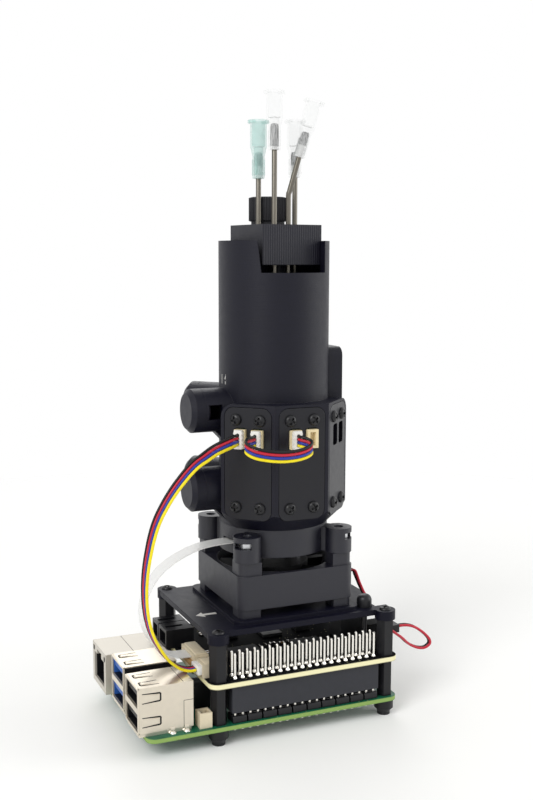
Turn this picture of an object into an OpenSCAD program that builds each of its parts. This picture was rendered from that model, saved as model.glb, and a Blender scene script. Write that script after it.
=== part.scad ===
// Bench bioreactor: a vial holder on a magnetic stirrer, standing on two stacked circuit boards.
// Origin: the middle of the four feet, on the bench. X runs away from the network jack,
// Y away from the pin header's side, Z up. Millimetres.

/* [Computer board] */
// Length of the board, along X
board_l = 85; // [80:0.5:95]
// Width of both boards, along Y
board_w = 56; // [54:0.5:66]
// Thickness of the board
board_t = 1.4; // [1:0.1:2.4]
// Corner radius of the boards
board_corner_r = 3; // [1:0.1:3.4]
// Distance between the mounting holes along X
hole_span_x = 58; // [56:0.5:60]
// Distance between the mounting holes along Y
hole_span_y = 49; // [47:0.5:56]
// Distance from a board edge to the nearest hole
hole_edge = 3.5; // [3.5:0.1:4.5]
// Radius of the mounting holes
hole_r = 1.35; // [1.3:0.05:1.6]

/* [Jacks] */
// Depth of a double serial jack, along X
usb_l = 17.5; // [15:0.5:20]
// Width of a double serial jack
usb_w = 13.2; // [12.5:0.1:15]
// Height of a double serial jack
usb_h = 15.4; // [15:0.1:20]
// Depth of the network jack, along X
net_l = 21.3; // [18:0.1:24]
// Width of the network jack
net_w = 16; // [14.5:0.1:17]
// Height of the network jack
net_h = 13.5; // [12.5:0.1:16]
// How far the jacks reach past the board's end
jack_overhang = 2.5; // [0:0.1:4]
// Thickness of the jacks' sheet metal
shell_t = 0.4; // [0.3:0.05:0.7]

/* [Pins] */
// Distance between neighbouring pins
pin_pitch = 2.54; // [2.54:0.01:2.6]
// Width of a square pin
pin_w = 0.64; // [0.5:0.02:0.8]
// Height of the pin header's black base
header_h = 2.5; // [2:0.1:3]
// Height of the long pins above the stack board
long_pin_h = 8.4; // [4:0.1:11]

/* [Feet and standoffs] */
// Radius of a foot's round end
foot_r = 2.1; // [1.6:0.1:2.6]
// Height of a foot's round end
foot_h = 2.2; // [2:0.1:5]
// Radius of a foot's collar
foot_collar_r = 3.1; // [2.7:0.1:3.4]
// Height of a foot's collar
foot_collar_h = 3; // [1.5:0.1:4]
// Width across flats of the lower standoffs
lower_standoff_af = 4.6; // [4:0.1:5.5]
// Height of the lower standoffs
lower_standoff_h = 12; // [11.5:0.1:16]
// Width across flats of the upper standoffs
upper_standoff_af = 5.2; // [4.5:0.1:5.6]
// Height of the upper standoffs
upper_standoff_h = 12; // [11.5:0.1:18]
// Radius of the small screws' threads
screw_r = 1.2; // [1:0.05:1.25]

/* [Stack board] */
// Length of the stack board, along X
stack_l = 65; // [65:0.5:66]
// Thickness of the stack board
stack_t = 1.6; // [1.2:0.1:2]

/* [Top plate] */
// Thickness of the plate
plate_t = 1.8; // [1.2:0.1:3]
// Height of the corner bosses under the plate
boss_h = 1.2; // [0.5:0.1:2]
// Width of the plate between its corner bosses, along Y
plate_w = 48; // [46:0.5:50]
// Side of the square pad under the stirrer
pad_side = 43.2; // [40:0.1:43.3]
// Height of the pad above the rim
pad_h = 1.2; // [0.5:0.1:2]

/* [Stirrer] */
// Side of the motor frame
frame_side = 40; // [39.6:0.1:40]
// Corner radius of the motor frame
frame_corner_r = 3; // [2:0.1:3.6]
// Distance between the motor frame's screws
frame_hole_span = 32; // [31.5:0.1:32.5]
// Height of the frame's feet
frame_foot_h = 2.7; // [2:0.1:5]
// Height of the frame's solid band
band_h = 10.9; // [10:0.1:15]
// Height of the posts above the band
post_h = 4.1; // [3:0.1:8]
// Side of the square posts
post_side = 7.6; // [6.5:0.1:8]
// Side of the square feet
frame_foot_side = 7.2; // [6.5:0.1:8]
// How far the posts and feet stand back from the band
frame_step = 0.5; // [0.3:0.1:0.8]
// Radius of the rotor's space
rotor_space_r = 18.6; // [18:0.1:19]
// Radius of the rotor's cup
rotor_r = 11.5; // [11:0.1:13]
// Number of fan blades
blade_count = 7; // [5:1:9]
// Radius of the rotor's shaft
shaft_r = 1; // [0.8:0.05:1.2]
// Radius of a stirring magnet
magnet_r = 3; // [2:0.1:3.4]

/* [Long screws] */
// Radius of the long screws
long_screw_r = 1.45; // [1.2:0.05:1.5]
// Radius of their holes
long_hole_r = 1.6; // [1.55:0.05:1.8]
// Thickness of a captive nut
nut_t = 1.8; // [1.6:0.1:2.4]
// Width across flats of a captive nut
nut_af = 5.4; // [5:0.1:5.5]

/* [Holder base] */
// Outer radius of the ring and of the tube
tube_r = 17.8; // [17.4:0.1:19]
// Height of the ring
ring_h = 8.8; // [8:0.1:14]
// Radius of a tower
tower_r = 4.3; // [4:0.05:4.6]
// Height of a tower
tower_h = 8; // [7:0.1:8.6]

/* [Vial holder] */
// Distance from the axis to the body's flat sides
body_apothem = 22; // [21.5:0.1:24]
// Height of the body
body_h = 40.4; // [40:0.2:50]
// Height of the tube above the body
tube_l = 50.2; // [46:0.1:60]
// Radius of the vial's bore in the body
bore_r = 14.1; // [14:0.05:14.4]
// Radius of the bore in the tube
tube_bore_r = 15.6; // [15.6:0.05:16]
// Width of the notch in the tube's front
notch_w = 23; // [22.5:0.1:25]
// Depth of the notch below the tube's rim
notch_h = 9.9; // [9:0.1:14]
// How far the notch's left edge leans in at its foot
notch_lean = 1; // [0:0.1:1.5]

/* [Panels and pockets] */
// Width of a side panel
panel_w = 15.6; // [14.5:0.1:16]
// Height of a side panel
panel_h = 35.2; // [33:0.1:36]
// Thickness of a side panel
panel_t = 1.2; // [0.8:0.1:1.6]
// Thickness of a sensor board
sensor_board_t = 1; // [0.8:0.1:1.2]
// Radius of a pocket cap
pocket_cap_r = 7; // [6:0.1:7.2]
// Length of a pocket cap
pocket_cap_l = 4.6; // [4:0.1:7]
// Height of the lower pockets above the body's foot
pocket_low = 11.8; // [10:0.1:12]
// Height of the upper pockets above the body's foot
pocket_high = 37.2; // [30:0.1:38]

/* [Vial] */
// Radius of the glass
vial_r = 13.75; // [13.5:0.05:13.8]
// Height of the glass
vial_h = 81; // [76:0.5:81]
// Wall of the glass
glass_t = 1.1; // [0.8:0.05:1.5]
// Height of the screw cap
cap_h = 15; // [12:0.1:16]
// Length of the stirring bar
stir_bar_l = 14; // [10:0.1:18]
// Radius of the stirring bar
stir_bar_r = 1.75; // [1.5:0.05:2.5]

/* [Cap block and needles] */
// Side of the square block
block_side = 21.3; // [19:0.1:21.4]
// Height of the block
block_h = 12.5; // [10:0.1:16]
// Turn of the block about the axis, in degrees
block_turn = 5.8; // [0:0.1:8]
// Radius of the knurled head
plug_r = 6.2; // [5.7:0.1:6.4]
// Height of the knurled head
plug_head_h = 7.8; // [5:0.1:10]
// Radius of a steel needle tube
needle_r = 0.825; // [0.6:0.025:0.9]
// Length of a needle's moulded hub
hub_l = 18; // [16:0.1:20]

/* [Clearances] */
// Radial clearance of a turning or sliding fit
run_gap = 0.05; // [0.03:0.01:0.08]

/* [Hidden] */
$fn = 48;
eps = 0.01;

// Heights, from the bench up
board_z = foot_h + foot_collar_h;
board_top = board_z + board_t;
stack_z = board_top + lower_standoff_h;
stack_top = stack_z + stack_t;
boss_z = stack_top + upper_standoff_h;
plate_z = boss_z + boss_h;
plate_top = plate_z + plate_t;
frame_z = plate_top + pad_h;
band_z = frame_z + frame_foot_h;
post_z = band_z + band_h;
ring_z = post_z + post_h;
body_z = ring_z + ring_h;
body_top = body_z + body_h;
rim_z = body_top + tube_l;

// Plan positions
hole_x = hole_span_x / 2;
hole_y = hole_span_y / 2;
tower_xy = frame_hole_span / 2;
board_x1 = hole_x + hole_edge;
board_x0 = board_x1 - board_l;

// Pin header and its socket
pin_columns = 20;
pin_row_y = -hole_y;
pin_hole_r = 0.5;
pin_tail = 0.9;
header_pin_h = 8.3;
header_groove = 0.5;
socket_lift = 0.8;
socket_cavity_w = 0.92;
long_pin_depth = 2.6;
pin_field_l = pin_columns * pin_pitch;
pin_field_w = 2 * pin_pitch;
header_top = board_top + header_h;
socket_z = header_top + socket_lift;

// Jacks
usb_base_h = 1.2;
usb_base_inset = 0.5;
usb_port_h = 5.6;
usb_port_step = 7.4;
usb_port_z = 1.8;
usb_port_depth = 13;
usb_tongue_t = 1.8;
usb_tongue_w = 11.2;
usb_tongue_drop = 0.9;
usb_tongue_back = 1;
jack_x0 = board_x0 - jack_overhang;
usb_black_y = -19;
usb_blue_y = -1;
usb_blue_set_back = 0.8;
net_y = 18;
net_port_w = 11.8;
net_port_h = 8.6;
net_port_z = 1.8;
net_port_depth = 15;
net_catch_w = 5.2;
net_catch_h = 1.6;
fan_header_at = [-35.8, -26.6];
fan_header_size = [4, 4.2, 4.8];
fan_header_wall = 0.6;
fan_header_floor = 1.5;

// Parts soldered on the computer board: [x, y, length, width, height]
chips = [[3.5, -1, 15, 15, 2.4], [-12.5, 2, 12.5, 10.5, 1], [22, -13, 12, 9, 1.6],
    [-26, 2, 8, 8, 0.9], [25, 1, 6, 6, 0.9], [-2.5, 15.5, 5, 3.4, 1.2], [14, 14.5, 4.2, 4.2, 1.8]];
power_socket_x = 21.3;
power_socket_size = [9, 7.4, 3.2];
video_socket_x = [-6.7, 6.7];
video_socket_size = [6.6, 7.2, 3.2];
edge_socket_overhang = 1;
edge_socket_wall = 0.4;
edge_socket_floor = 1.2;
card_size = [15, 11, 0.9];
card_stick_out = 2.2;
card_slot_size = [13.5, 12.6, 1.5];
card_slot_wall = 0.2;
card_gap = 0.1;
press_y = 13;
press_housing = [3.2, 4.4, 2.4];
press_plunger = [2.4, 2, 1];
press_z = 0.8;
press_stick_out = 0.9;
press_travel = 0.25;
press_gap = 0.05;

// Parts on the stack board: [x, y, length, width, height]
stack_chip_list = [[2, 8, 7, 7, 1], [-12, 10, 5, 4, 1.6], [14, 8, 5, 4, 1.6], [-14, -8, 10, 5.3, 2.3],
    [8, -9, 10, 5.3, 2.3], [-2, 21, 6, 3, 1], [22, 16, 4, 4, 3], [25.5, -5, 9, 8, 7.8]];
black_socket_x = -35.2;
black_socket_l = 9.6;
black_socket_h = 6.2;
// Near edge and width of each black socket
black_socket_spans = [[7.1, 7.9], [15.6, 6.2]];
black_socket_wall = 1;
black_socket_depth = 7;
black_socket_slot = [6, 1.6];
ribbon_socket_at = [-33.4, -15];
ribbon_socket_size = [4.8, 12, 5.1];
ribbon_w = 6.6;
ribbon_t = 0.3;
ribbon_slot = [2, 7, 0.6];
ribbon_end_z = 4;
latch_bar = [1, 10.4, 0.9];
latch_tongue = [2.2, 8, 0.5];
latch_drop = 1.5;
latch_gap = 0.06;
bus_socket_at = [-33, -21.4];
bus_socket_size = [4.4, 6.2, 4.4];
plug_size = [1.6, 5.2, 2.9];
plug_head_size = [1.5, 5.9, 3.1];
plug_gap = 0.1;
bus_plug_z = 2.5;
button_at = [24.2, -19.1];
button_r = 2.45;
button_dome_h = 4.1;
button_dome_r = 1.9;
button_stem_r = 1.05;
button_travel = 0.5;
switch_size = [6, 6, 4.2];
switch_bore_depth = 2.2;
motor_plug_at = [33.4, -16.6];
motor_plug_size = [5.8, 5.2, 2.6];
motor_plug_z = 3.2;
motor_header_l = 6;
motor_header_rise = 1.5;
motor_pin_l = 4;
motor_pin_step = 2.54;
motor_pin_gap = 0.05;

// Screws and standoffs
shank_gap = 0.05;
foot_tip_h = 0.9;
foot_top_r = 2.8;
foot_shank_l = 4;
stud_l = 4.5;
lower_bore_low = 4.6;
lower_bore_high = 5.2;
plate_screw_l = 8;
upper_bore = 6;
plate_screw_head_r = 1.9;
plate_screw_head_h = 0.9;
cross_w = 0.5;
cross_l = 2.2;
cross_h = 0.5;
long_head_r = 2.7;
long_head_h = 1.8;
long_tip = 0.7;
hex_drive_af = 2.5;
hex_drive_h = 1;
panel_screw_r = 0.95;
panel_screw_head_r = 1.9;
panel_screw_head_h = 1.2;
panel_screw_l = 7;
panel_screw_s = 4;
panel_screw_span = 27.6;
panel_hole_gap = 0.15;

// Top plate
plate_x0 = -32;
plate_x1 = 31.6;
boss_r = 3.3;
pad_corner_r = 3;
// Cut-out beside the button, where the motor leads go down
notch_points = [[31.7, -3.8], [27.6, -9.4], [27.6, -20.4], [31.7, -20.4]];

// Stirrer
hub_plate_r = 10;
hub_plate_t = 1.4;
strut_w = 3;
bearing_r = 2.3;
bearing_h = 6.4;
stator_r = 8.2;
stator_h = 5;
cup_wall = 2.6;
cup_top_t = 1.4;
cup_lift = 1.1;
cup_h = 7.6;
shaft_l = 6.6;
blade_reach = 17.6;
blade_h = 6.6;
blade_root = 1;
blade_z = 2.9;
blade_t = 1.1;
blade_tilt = 26;
magnet_h = 2.4;
magnet_circle_r = 6.8;

// Holder base and heater
ring_bore_r = 14.3;
floor_t = 2.9;
floor_hole_r = 9;
web_w = 5;
web_reach = 20;
nut_z = 4.5;
nut_slot_gap = 0.1;
heater_r = 14;
heater_t = 1.6;
heater_tab_l = 3;
heater_tab_x = 15.6;
heater_tab_w = 7;
heater_tab_gap = 0.1;

// Vial holder
cone_h = 3.1;
panel_z = 4.2;
panel_corner_r = 3;
body_corner_r = 4.2;
recess_gap = 0.15;
socket_s = [-2.4, 3.3];
sensor_z = 29.7;
window_size = [4.2, 6.8];
window_r = 1;
sensor_socket_size = [3.8, 5.9, 2.2];
empty_window_depth = 3;
light_hole_r = 1.5;
pocket_sides = [-90, -135];
pocket_root = 15;
pocket_end = 25.7;
pocket_bore_r = 4.9;
pocket_floor = 19;
pocket_window = [4.5, 4.7];
pocket_window_d = 20.4;
cap_spigot_l = 2;
cap_spigot_gap = 0.05;
cap_hollow_r = 3.6;
cap_end_t = 1.2;
cap_bevel = 1.4;
// Support under a pocket, in distance from the axis and height from the pocket's middle
gusset_points = [[16, -4], [22, -5.9], [17.4, -10.6], [16, -10.6]];
gusset_t = 5;
light_r = 2.5;
light_gap = 0.05;
light_tip = 15.6;
light_board_t = 1;
tab_x1 = 21.5;
tab_t = 5;
tab_w = 14;
tab_h = 26.5;
tab_z = 30;
tab_corner_r = 2.8;

// Vial and its cap
vial_z = ring_z + floor_t + heater_t;
glass_floor_t = 1.6;
neck_r = 11.1;
neck_bore_r = 9.4;
neck_l = 16;
shoulder_h = 4;
cap_r = 12.8;
cap_lip_t = 1.2;
cap_hole_r = 9;
septum_t = 1.8;
septum_r = 10.9;
septum_rise = 1.5;
septum_rise_gap = 0.2;
vial_top = vial_z + vial_h;
lip_z = vial_top + septum_t;
septum_top = lip_z + septum_rise;
stir_ring_r = stir_bar_r + 0.25;
stir_ring_w = 2;

// Cap block: its foot stands on the septum
block_x = 0.5;
block_y = -0.1;
block_foot_r = 3.3;
block_foot_h = 3.1;
block_foot_at = [1.5, 0.4];
block_z = septum_top + block_foot_h;
block_top = block_z + block_h;
plug_at = [-0.2, 4.4];
plug_neck_r = 5.4;
plug_neck_h = 1.25;
plug_shank_r = 5;
plug_shank_l = 8;
plug_bore_spare = 0.4;
knurl_count = 40;
knurl_w = 0.45;
knurl_d = 0.22;

// Needles: [x, y], tube foot and hub foot above the bench, lean of the upper end
needle_at = [[-5.7, -0.7], [-2.8, -6.5], [2.5, -5.5], [6.9, -0.85]];
needle_foot = [112, 95, 100, 125];
needle_hub = [172.9, 181.4, 179.4, 173.6];
needle_bend_z = 167.7;
needle_lean = 15.5;
needle_lean_turn = -23.6;
needle_hole_gap = 0.05;
hub_low_r = 1.95;
hub_high_r = 2.65;
hub_flange_r = 3.35;
hub_flange_t = 1.1;
hub_low_l = 6.8;
hub_taper_l = 3;
hub_mouth_r = 2.1;
hub_mouth_l = 6;
hub_bore_l = 5;

// Cables. Each route is a list of points along its middle, in order
wire_r = 0.46;
wire_count = 4;
wire_step = 0.96;
wire_sides = 8;
rings_per_step = 4;
bus_route = [[-19.02, -15.63, 92.6], [-20.5, -17.1, 92.6], [-23.2, -18.8, 92.2], [-28, -20.5, 90.9],
    [-32.3, -21.8, 88.9], [-36.4, -22.6, 86.4], [-42.7, -23.6, 79.9], [-47.9, -24, 71.5],
    [-50.5, -24, 62.5], [-51.7, -23.8, 53.8], [-51.3, -23, 44.7], [-49.1, -21.6, 36.6],
    [-44.9, -19.7, 29.2], [-42.3, -18.9, 26.1], [-39.4, -18.4, 23.8], [-36.6, -18.3, 22.7],
    [-34.5, -18.3, 22.7]];
bus_twist = 90;
twist_ease = 2.5;
jumper_route = [[-14.99, -19.66, 92.6], [-16.5, -21.17, 92.6], [-19.4, -24.5, 92.9],
    [-21.1, -27.6, 92.3], [-20.6, -29.8, 91.6], [-18.8, -31.2, 90.8], [-15, -32, 90], [-10.4, -32, 89.5],
    [-5.9, -31.6, 89.6], [-2.4, -30.8, 90.2], [-0.5, -29.6, 91], [-0.4, -28, 91.9],
    [-1.6, -26.8, 92.4], [-2.4, -25.8, 92.6], [-2.4, -24.5, 92.6]];
lead_r = 0.45;
lead_step = 1.05;
lead_route = [[20, -1, 41.6], [22.3, -1.2, 41.7], [25, -2, 42.2], [26.9, -3.8, 43], [27.4, -6, 42.9],
    [27.2, -8, 41.9], [27.1, -10, 40.2], [27.4, -12, 38], [28.2, -13.6, 35.6], [29.2, -15.4, 32.6],
    [30.6, -17, 30], [31.9, -18, 28], [33.6, -18.7, 26.4], [36.2, -18.8, 24.3], [39, -18, 22.2],
    [41.6, -16.2, 20], [44.4, -14.4, 17.8], [47.6, -14, 16.1], [50.6, -14, 15.6], [52.7, -14, 16.9],
    [52, -14, 19], [48.9, -14, 21.9], [45.6, -14, 23.9], [42.4, -14, 24.7], [39.2, -14, 24.7]];
ribbon_route = [[-15.6, -4, 57.8], [-20, -4, 57.8], [-27.4, -4, 57.1], [-34.1, -4.3, 54.9],
    [-40.4, -5, 51.6], [-45, -6, 46.8], [-47.5, -7.2, 41.3], [-47.8, -8.2, 35.6],
    [-46, -8.8, 30.4], [-42.6, -9, 26.6], [-38.4, -9, 24.5], [-34.6, -9, 24.2], [-32.6, -9, 24.2]];

// Helpers

// A rectangle with rounded corners, centred on the origin
module rounded_rect(l, w, r) {
    square([l - 2 * r, w], center = true);
    square([l, w - 2 * r], center = true);
    for (x = [-1, 1], y = [-1, 1]) translate([x * (l / 2 - r), y * (w / 2 - r)]) circle(r);
}

module at_holes() for (x = [-1, 1], y = [-1, 1]) translate([x * hole_x, y * hole_y, 0]) children();

module at_towers() for (x = [-1, 1], y = [-1, 1]) translate([x * tower_xy, y * tower_xy, 0]) children();

module at_pins() for (i = [0:pin_columns - 1], j = [-0.5, 0.5])
    translate([(i - (pin_columns - 1) / 2) * pin_pitch, pin_row_y + j * pin_pitch, 0]) children();

module hex_rod(af, h) cylinder(r = af / 2 / cos(30), h = h, $fn = 6);

// A cross-shaped driver recess, cut down from z = 0
module cross_recess() for (a = [0, 90]) rotate([0, 0, a])
    translate([-cross_l / 2, -cross_w / 2, -cross_h]) cube([cross_l, cross_w, cross_h + eps]);

// Turns a child drawn along Z so that it points outward from the axis on the side at angle az
module on_side(az, d, s = 0, z = 0) rotate([0, 0, az]) translate([s, -d, z]) rotate([90, 0, 0]) children();

// A small part on a board: p is [x, y, length, width, height]
module chip(p, z) translate([p[0] - p[2] / 2, p[1] - p[3] / 2, z]) cube([p[2], p[3], p[4]]);

function unit(v) = v / norm(v);

// A point at share t of the step after point i, on the smooth curve through p
function on_curve(p, i, t) = let (a = p[max(i - 1, 0)], b = p[i], c = p[i + 1],
    d = p[min(i + 2, len(p) - 1)])
    b + t / 2 * (c - a + t * (2 * a - 5 * b + 4 * c - d + t * (3 * (b - c) + d - a)));

function curve(p) = concat([for (i = [0:len(p) - 2]) for (k = [0:rings_per_step - 1])
    on_curve(p, i, k / rings_per_step)], [p[len(p) - 1]]);

function disc(r) = [for (i = [0:wire_sides - 1]) r * [cos(360 * i / wire_sides),
    sin(360 * i / wire_sides)]];

function spun(p, a) = [p[0] * cos(a) - p[1] * sin(a), p[0] * sin(a) + p[1] * cos(a)];

// Sweeps a flat section along a route. Its second axis stays close to ref, and the
// section is moved by offset, which turns by twist degrees, fastest at the start
module swept(route, section, ref, offset = [0, 0], twist = 0) {
    q = curve(route);
    m = len(q);
    n = len(section);
    last = len(route) - 1;
    points = [for (k = [0:m - 1]) let (t = unit(k == 0 ? route[1] - route[0] :
            k == m - 1 ? route[last] - route[last - 1] : q[k + 1] - q[k - 1]),
        u = unit(cross(ref, t)), v = cross(t, u),
        o = spun(offset, twist * (1 - pow(1 - k / (m - 1), twist_ease))))
        for (s = section) q[k] + (s[0] + o[0]) * u + (s[1] + o[1]) * v];
    sides = [for (k = [0:m - 2], i = [0:n - 1]) let (a = k * n + i, b = k * n + (i + 1) % n)
        each [[a, a + n, b], [b, a + n, b + n]]];
    polyhedron(points, concat([[for (i = [0:n - 1]) i]], sides, [[for (i = [n - 1:-1:0]) (m - 1)
        * n + i]]));
}

// The two circuit boards

module board_outline(x0, x1) {
    difference() {
        translate([(x0 + x1) / 2, 0]) rounded_rect(x1 - x0, board_w, board_corner_r);
        at_holes() circle(hole_r);
        at_pins() circle(pin_hole_r);
    }
}

module computer_board() color("#1f6b4a") translate([0, 0, board_z])
    linear_extrude(board_t) board_outline(board_x0, board_x1);

module stack_board() color("#c9c98a") translate([0, 0, stack_z])
    linear_extrude(stack_t) board_outline(-stack_l / 2, stack_l / 2);

module usb_jack(y, set_back) {
    x0 = jack_x0 + set_back;
    port_w = usb_w - 2 * shell_t;
    translate([x0, y, board_top]) {
        difference() {
            union() {
                translate([0, -usb_w / 2, usb_base_h]) cube([usb_l, usb_w, usb_h - usb_base_h]);
                translate([usb_base_inset, usb_base_inset - usb_w / 2, 0])
                    cube([usb_l - 2 * usb_base_inset, usb_w - 2 * usb_base_inset, usb_base_h + eps]);
            }
            for (k = [0, 1]) translate([-eps, -port_w / 2, usb_port_z + k * usb_port_step])
                cube([usb_port_depth + eps, port_w, usb_port_h]);
        }
        for (k = [0, 1]) translate([usb_tongue_back, -usb_tongue_w / 2,
            usb_port_z + k * usb_port_step + usb_port_h - usb_tongue_drop - usb_tongue_t])
            cube([usb_port_depth - usb_tongue_back + eps, usb_tongue_w, usb_tongue_t]);
    }
}

module usb_jack_black() color("#d6cdbd") usb_jack(usb_black_y, 0);

module usb_jack_blue() color("#d6cdbd") usb_jack(usb_blue_y, usb_blue_set_back);

module network_jack() color("#d6cdbd") translate([jack_x0, net_y, board_top]) difference() {
    translate([0, -net_w / 2, 0]) cube([net_l, net_w, net_h]);
    translate([-eps, -net_port_w / 2, net_port_z]) cube([net_port_depth, net_port_w, net_port_h]);
    translate([-eps, -net_catch_w / 2, net_port_z + net_port_h - eps])
        cube([net_port_depth, net_catch_w, net_catch_h]);
}

module fan_header() color("#e8d9b0") translate([fan_header_at[0], fan_header_at[1], board_top])
    difference() {
    cube(fan_header_size);
    translate([fan_header_wall, fan_header_wall, fan_header_floor])
        cube([fan_header_size[0] - 2 * fan_header_wall, fan_header_size[1] - 2 * fan_header_wall,
            fan_header_size[2]]);
}

module pin_header() {
    color("#17171a") difference() {
        translate([-pin_field_l / 2, pin_row_y - pin_field_w / 2, board_top])
            cube([pin_field_l, pin_field_w, header_h]);
        for (i = [1:pin_columns - 1], j = [-1, 1])
            translate([(i - pin_columns / 2) * pin_pitch, pin_row_y + j * pin_field_w / 2, board_top - eps])
                rotate([0, 0, 45]) translate([-header_groove / 2, -header_groove / 2, 0])
                    cube([header_groove, header_groove, header_h + 2 * eps]);
    }
    color("#e8e6e0") at_pins() translate([-pin_w / 2, -pin_w / 2, board_z - pin_tail])
        cube([pin_w, pin_w, pin_tail + board_t + header_pin_h]);
}

module board_chips() color("#26282b") for (p = chips) chip(p, board_top);

// A socket on the board's far edge, open outward
module edge_socket(x, size) translate([x - size[0] / 2, board_w / 2 + edge_socket_overhang - size[1],
    board_top])
    difference() {
        cube(size);
        translate([edge_socket_wall, edge_socket_floor, edge_socket_wall])
            cube([size[0] - 2 * edge_socket_wall, size[1], size[2] - 2 * edge_socket_wall]);
    }

module edge_sockets() {
    color("#c9c7c0") {
        edge_socket(power_socket_x, power_socket_size);
        for (x = video_socket_x) edge_socket(x, video_socket_size);
        translate([board_x1 - card_slot_size[0], -card_slot_size[1] / 2, board_z - card_slot_size[2]])
            difference() {
                cube(card_slot_size);
                translate([card_slot_wall, card_slot_size[1] / 2 - card_size[1] / 2 - card_gap,
                    card_slot_size[2] - card_size[2] - card_slot_wall - card_gap])
                    cube([card_slot_size[0], card_size[1] + 2 * card_gap, card_size[2] + card_gap]);
            }
    }
    color("#e8e6e0") translate([board_x1 - press_housing[0], press_y - press_housing[1] / 2, board_top])
        difference() {
            cube(press_housing);
            translate([press_housing[0] - press_plunger[0] + press_stick_out - press_travel - press_gap,
                press_housing[1] / 2 - press_plunger[1] / 2 - press_gap, press_z - press_gap])
                cube([press_housing[0], press_plunger[1] + 2 * press_gap,
                    press_plunger[2] + 2 * press_gap]);
        }
}

module memory_card() color("#1a1a1c")
    translate([board_x1 + card_stick_out - card_size[0], -card_size[1] / 2,
        board_z - card_size[2] - card_slot_wall - card_gap / 2]) cube(card_size);

module power_button() color("#f0efe9")
    translate([board_x1 + press_stick_out - press_plunger[0], press_y - press_plunger[1] / 2,
        board_top + press_z])
        cube(press_plunger);

module socket_header() color("#232427") difference() {
    translate([-pin_field_l / 2, pin_row_y - pin_field_w / 2, socket_z])
        cube([pin_field_l, pin_field_w, stack_z - socket_z]);
    at_pins() translate([-socket_cavity_w / 2, -socket_cavity_w / 2, socket_z - eps])
        cube([socket_cavity_w, socket_cavity_w, stack_z - socket_z + 2 * eps]);
}

module long_pins() color("#e8e6e0") at_pins()
    translate([-pin_w / 2, -pin_w / 2, stack_z - long_pin_depth])
        cube([pin_w, pin_w, long_pin_depth + stack_t + long_pin_h]);

module stack_chips() color("#1d1e20") for (p = stack_chip_list) chip(p, stack_top);

module black_sockets() color("#15161a") for (s = black_socket_spans)
    translate([black_socket_x, s[0], stack_top]) difference() {
        cube([black_socket_l, s[1], black_socket_h]);
        translate([-eps, black_socket_wall, black_socket_wall])
            cube([black_socket_depth, s[1] - 2 * black_socket_wall,
                black_socket_h - 2 * black_socket_wall]);
        translate([black_socket_wall, s[1] / 2 - black_socket_slot[1] / 2,
            black_socket_h - 2 * black_socket_wall])
            cube([black_socket_slot[0], black_socket_slot[1], 3 * black_socket_wall]);
    }

module ribbon_socket() color("#e8d9b0") translate([ribbon_socket_at[0], ribbon_socket_at[1], stack_top])
    difference() {
        cube(ribbon_socket_size);
        translate([-eps, ribbon_socket_size[1] / 2 - ribbon_slot[1] / 2, ribbon_end_z - ribbon_slot[2] / 2])
            cube(ribbon_slot);
        translate([-eps, ribbon_socket_size[1] / 2 - latch_tongue[1] / 2 - latch_gap,
            ribbon_end_z - latch_drop - latch_gap])
            cube([latch_tongue[0] + latch_gap, latch_tongue[1] + 2 * latch_gap,
                latch_tongue[2] + 2 * latch_gap]);
    }

module ribbon_latch() color("#c8a77a")
    translate([ribbon_socket_at[0], ribbon_socket_at[1] + ribbon_socket_size[1] / 2,
        stack_top + ribbon_end_z - latch_drop]) {
        translate([-latch_bar[0], -latch_bar[1] / 2, latch_tongue[2] / 2 - latch_bar[2] / 2])
            cube(latch_bar);
        translate([-eps, -latch_tongue[1] / 2, 0]) cube([latch_tongue[0] + eps, latch_tongue[1],
            latch_tongue[2]]);
    }

module bus_socket() color("#e8d9b0") translate([bus_socket_at[0], bus_socket_at[1], stack_top])
    difference() {
    cube(bus_socket_size);
    translate([-eps, bus_socket_size[1] / 2 - plug_size[1] / 2 - plug_gap,
        bus_plug_z - plug_size[2] / 2 - plug_gap])
        cube([plug_size[0] + plug_gap, plug_size[1] + 2 * plug_gap, plug_size[2] + 2 * plug_gap]);
}

module button_switch() color("#1a1b1d") translate([button_at[0], button_at[1], stack_top]) difference() {
    translate([-switch_size[0] / 2, -switch_size[1] / 2, 0]) cube(switch_size);
    translate([0, 0, switch_size[2] - switch_bore_depth])
        cylinder(r = button_stem_r + run_gap, h = switch_bore_depth + eps);
}

module motor_header() color("#17171a") translate([motor_plug_at[0], motor_plug_at[1], stack_top]) {
    translate([-motor_header_l, 0, 0]) cube([motor_header_l, motor_plug_size[1],
        motor_plug_z + motor_plug_size[2] + motor_header_rise]);
    for (k = [-0.5, 0.5]) translate([-eps, motor_plug_size[1] / 2 + k * motor_pin_step - pin_w / 2,
        motor_plug_z + motor_plug_size[2] / 2 - pin_w / 2]) cube([motor_pin_l, pin_w, pin_w]);
}

module motor_plug() color("#202124") translate([motor_plug_at[0], motor_plug_at[1],
    stack_top + motor_plug_z])
    difference() {
        cube(motor_plug_size);
        for (k = [-0.5, 0.5]) translate([-eps,
            motor_plug_size[1] / 2 + k * motor_pin_step - pin_w / 2 - motor_pin_gap,
            motor_plug_size[2] / 2 - pin_w / 2 - motor_pin_gap])
            cube([motor_pin_l + motor_pin_gap, pin_w + 2 * motor_pin_gap, pin_w + 2 * motor_pin_gap]);
    }

// Feet, standoffs and the small screws

module feet() color("#26272b") at_holes() {
    rotate_extrude() polygon([[0, 0], [foot_r, 0], [foot_r, foot_tip_h], [foot_top_r, foot_h],
        [foot_collar_r, foot_h], [foot_collar_r, board_z], [0, board_z]]);
    translate([0, 0, board_z - eps]) cylinder(r = screw_r, h = board_t + foot_shank_l);
}

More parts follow.
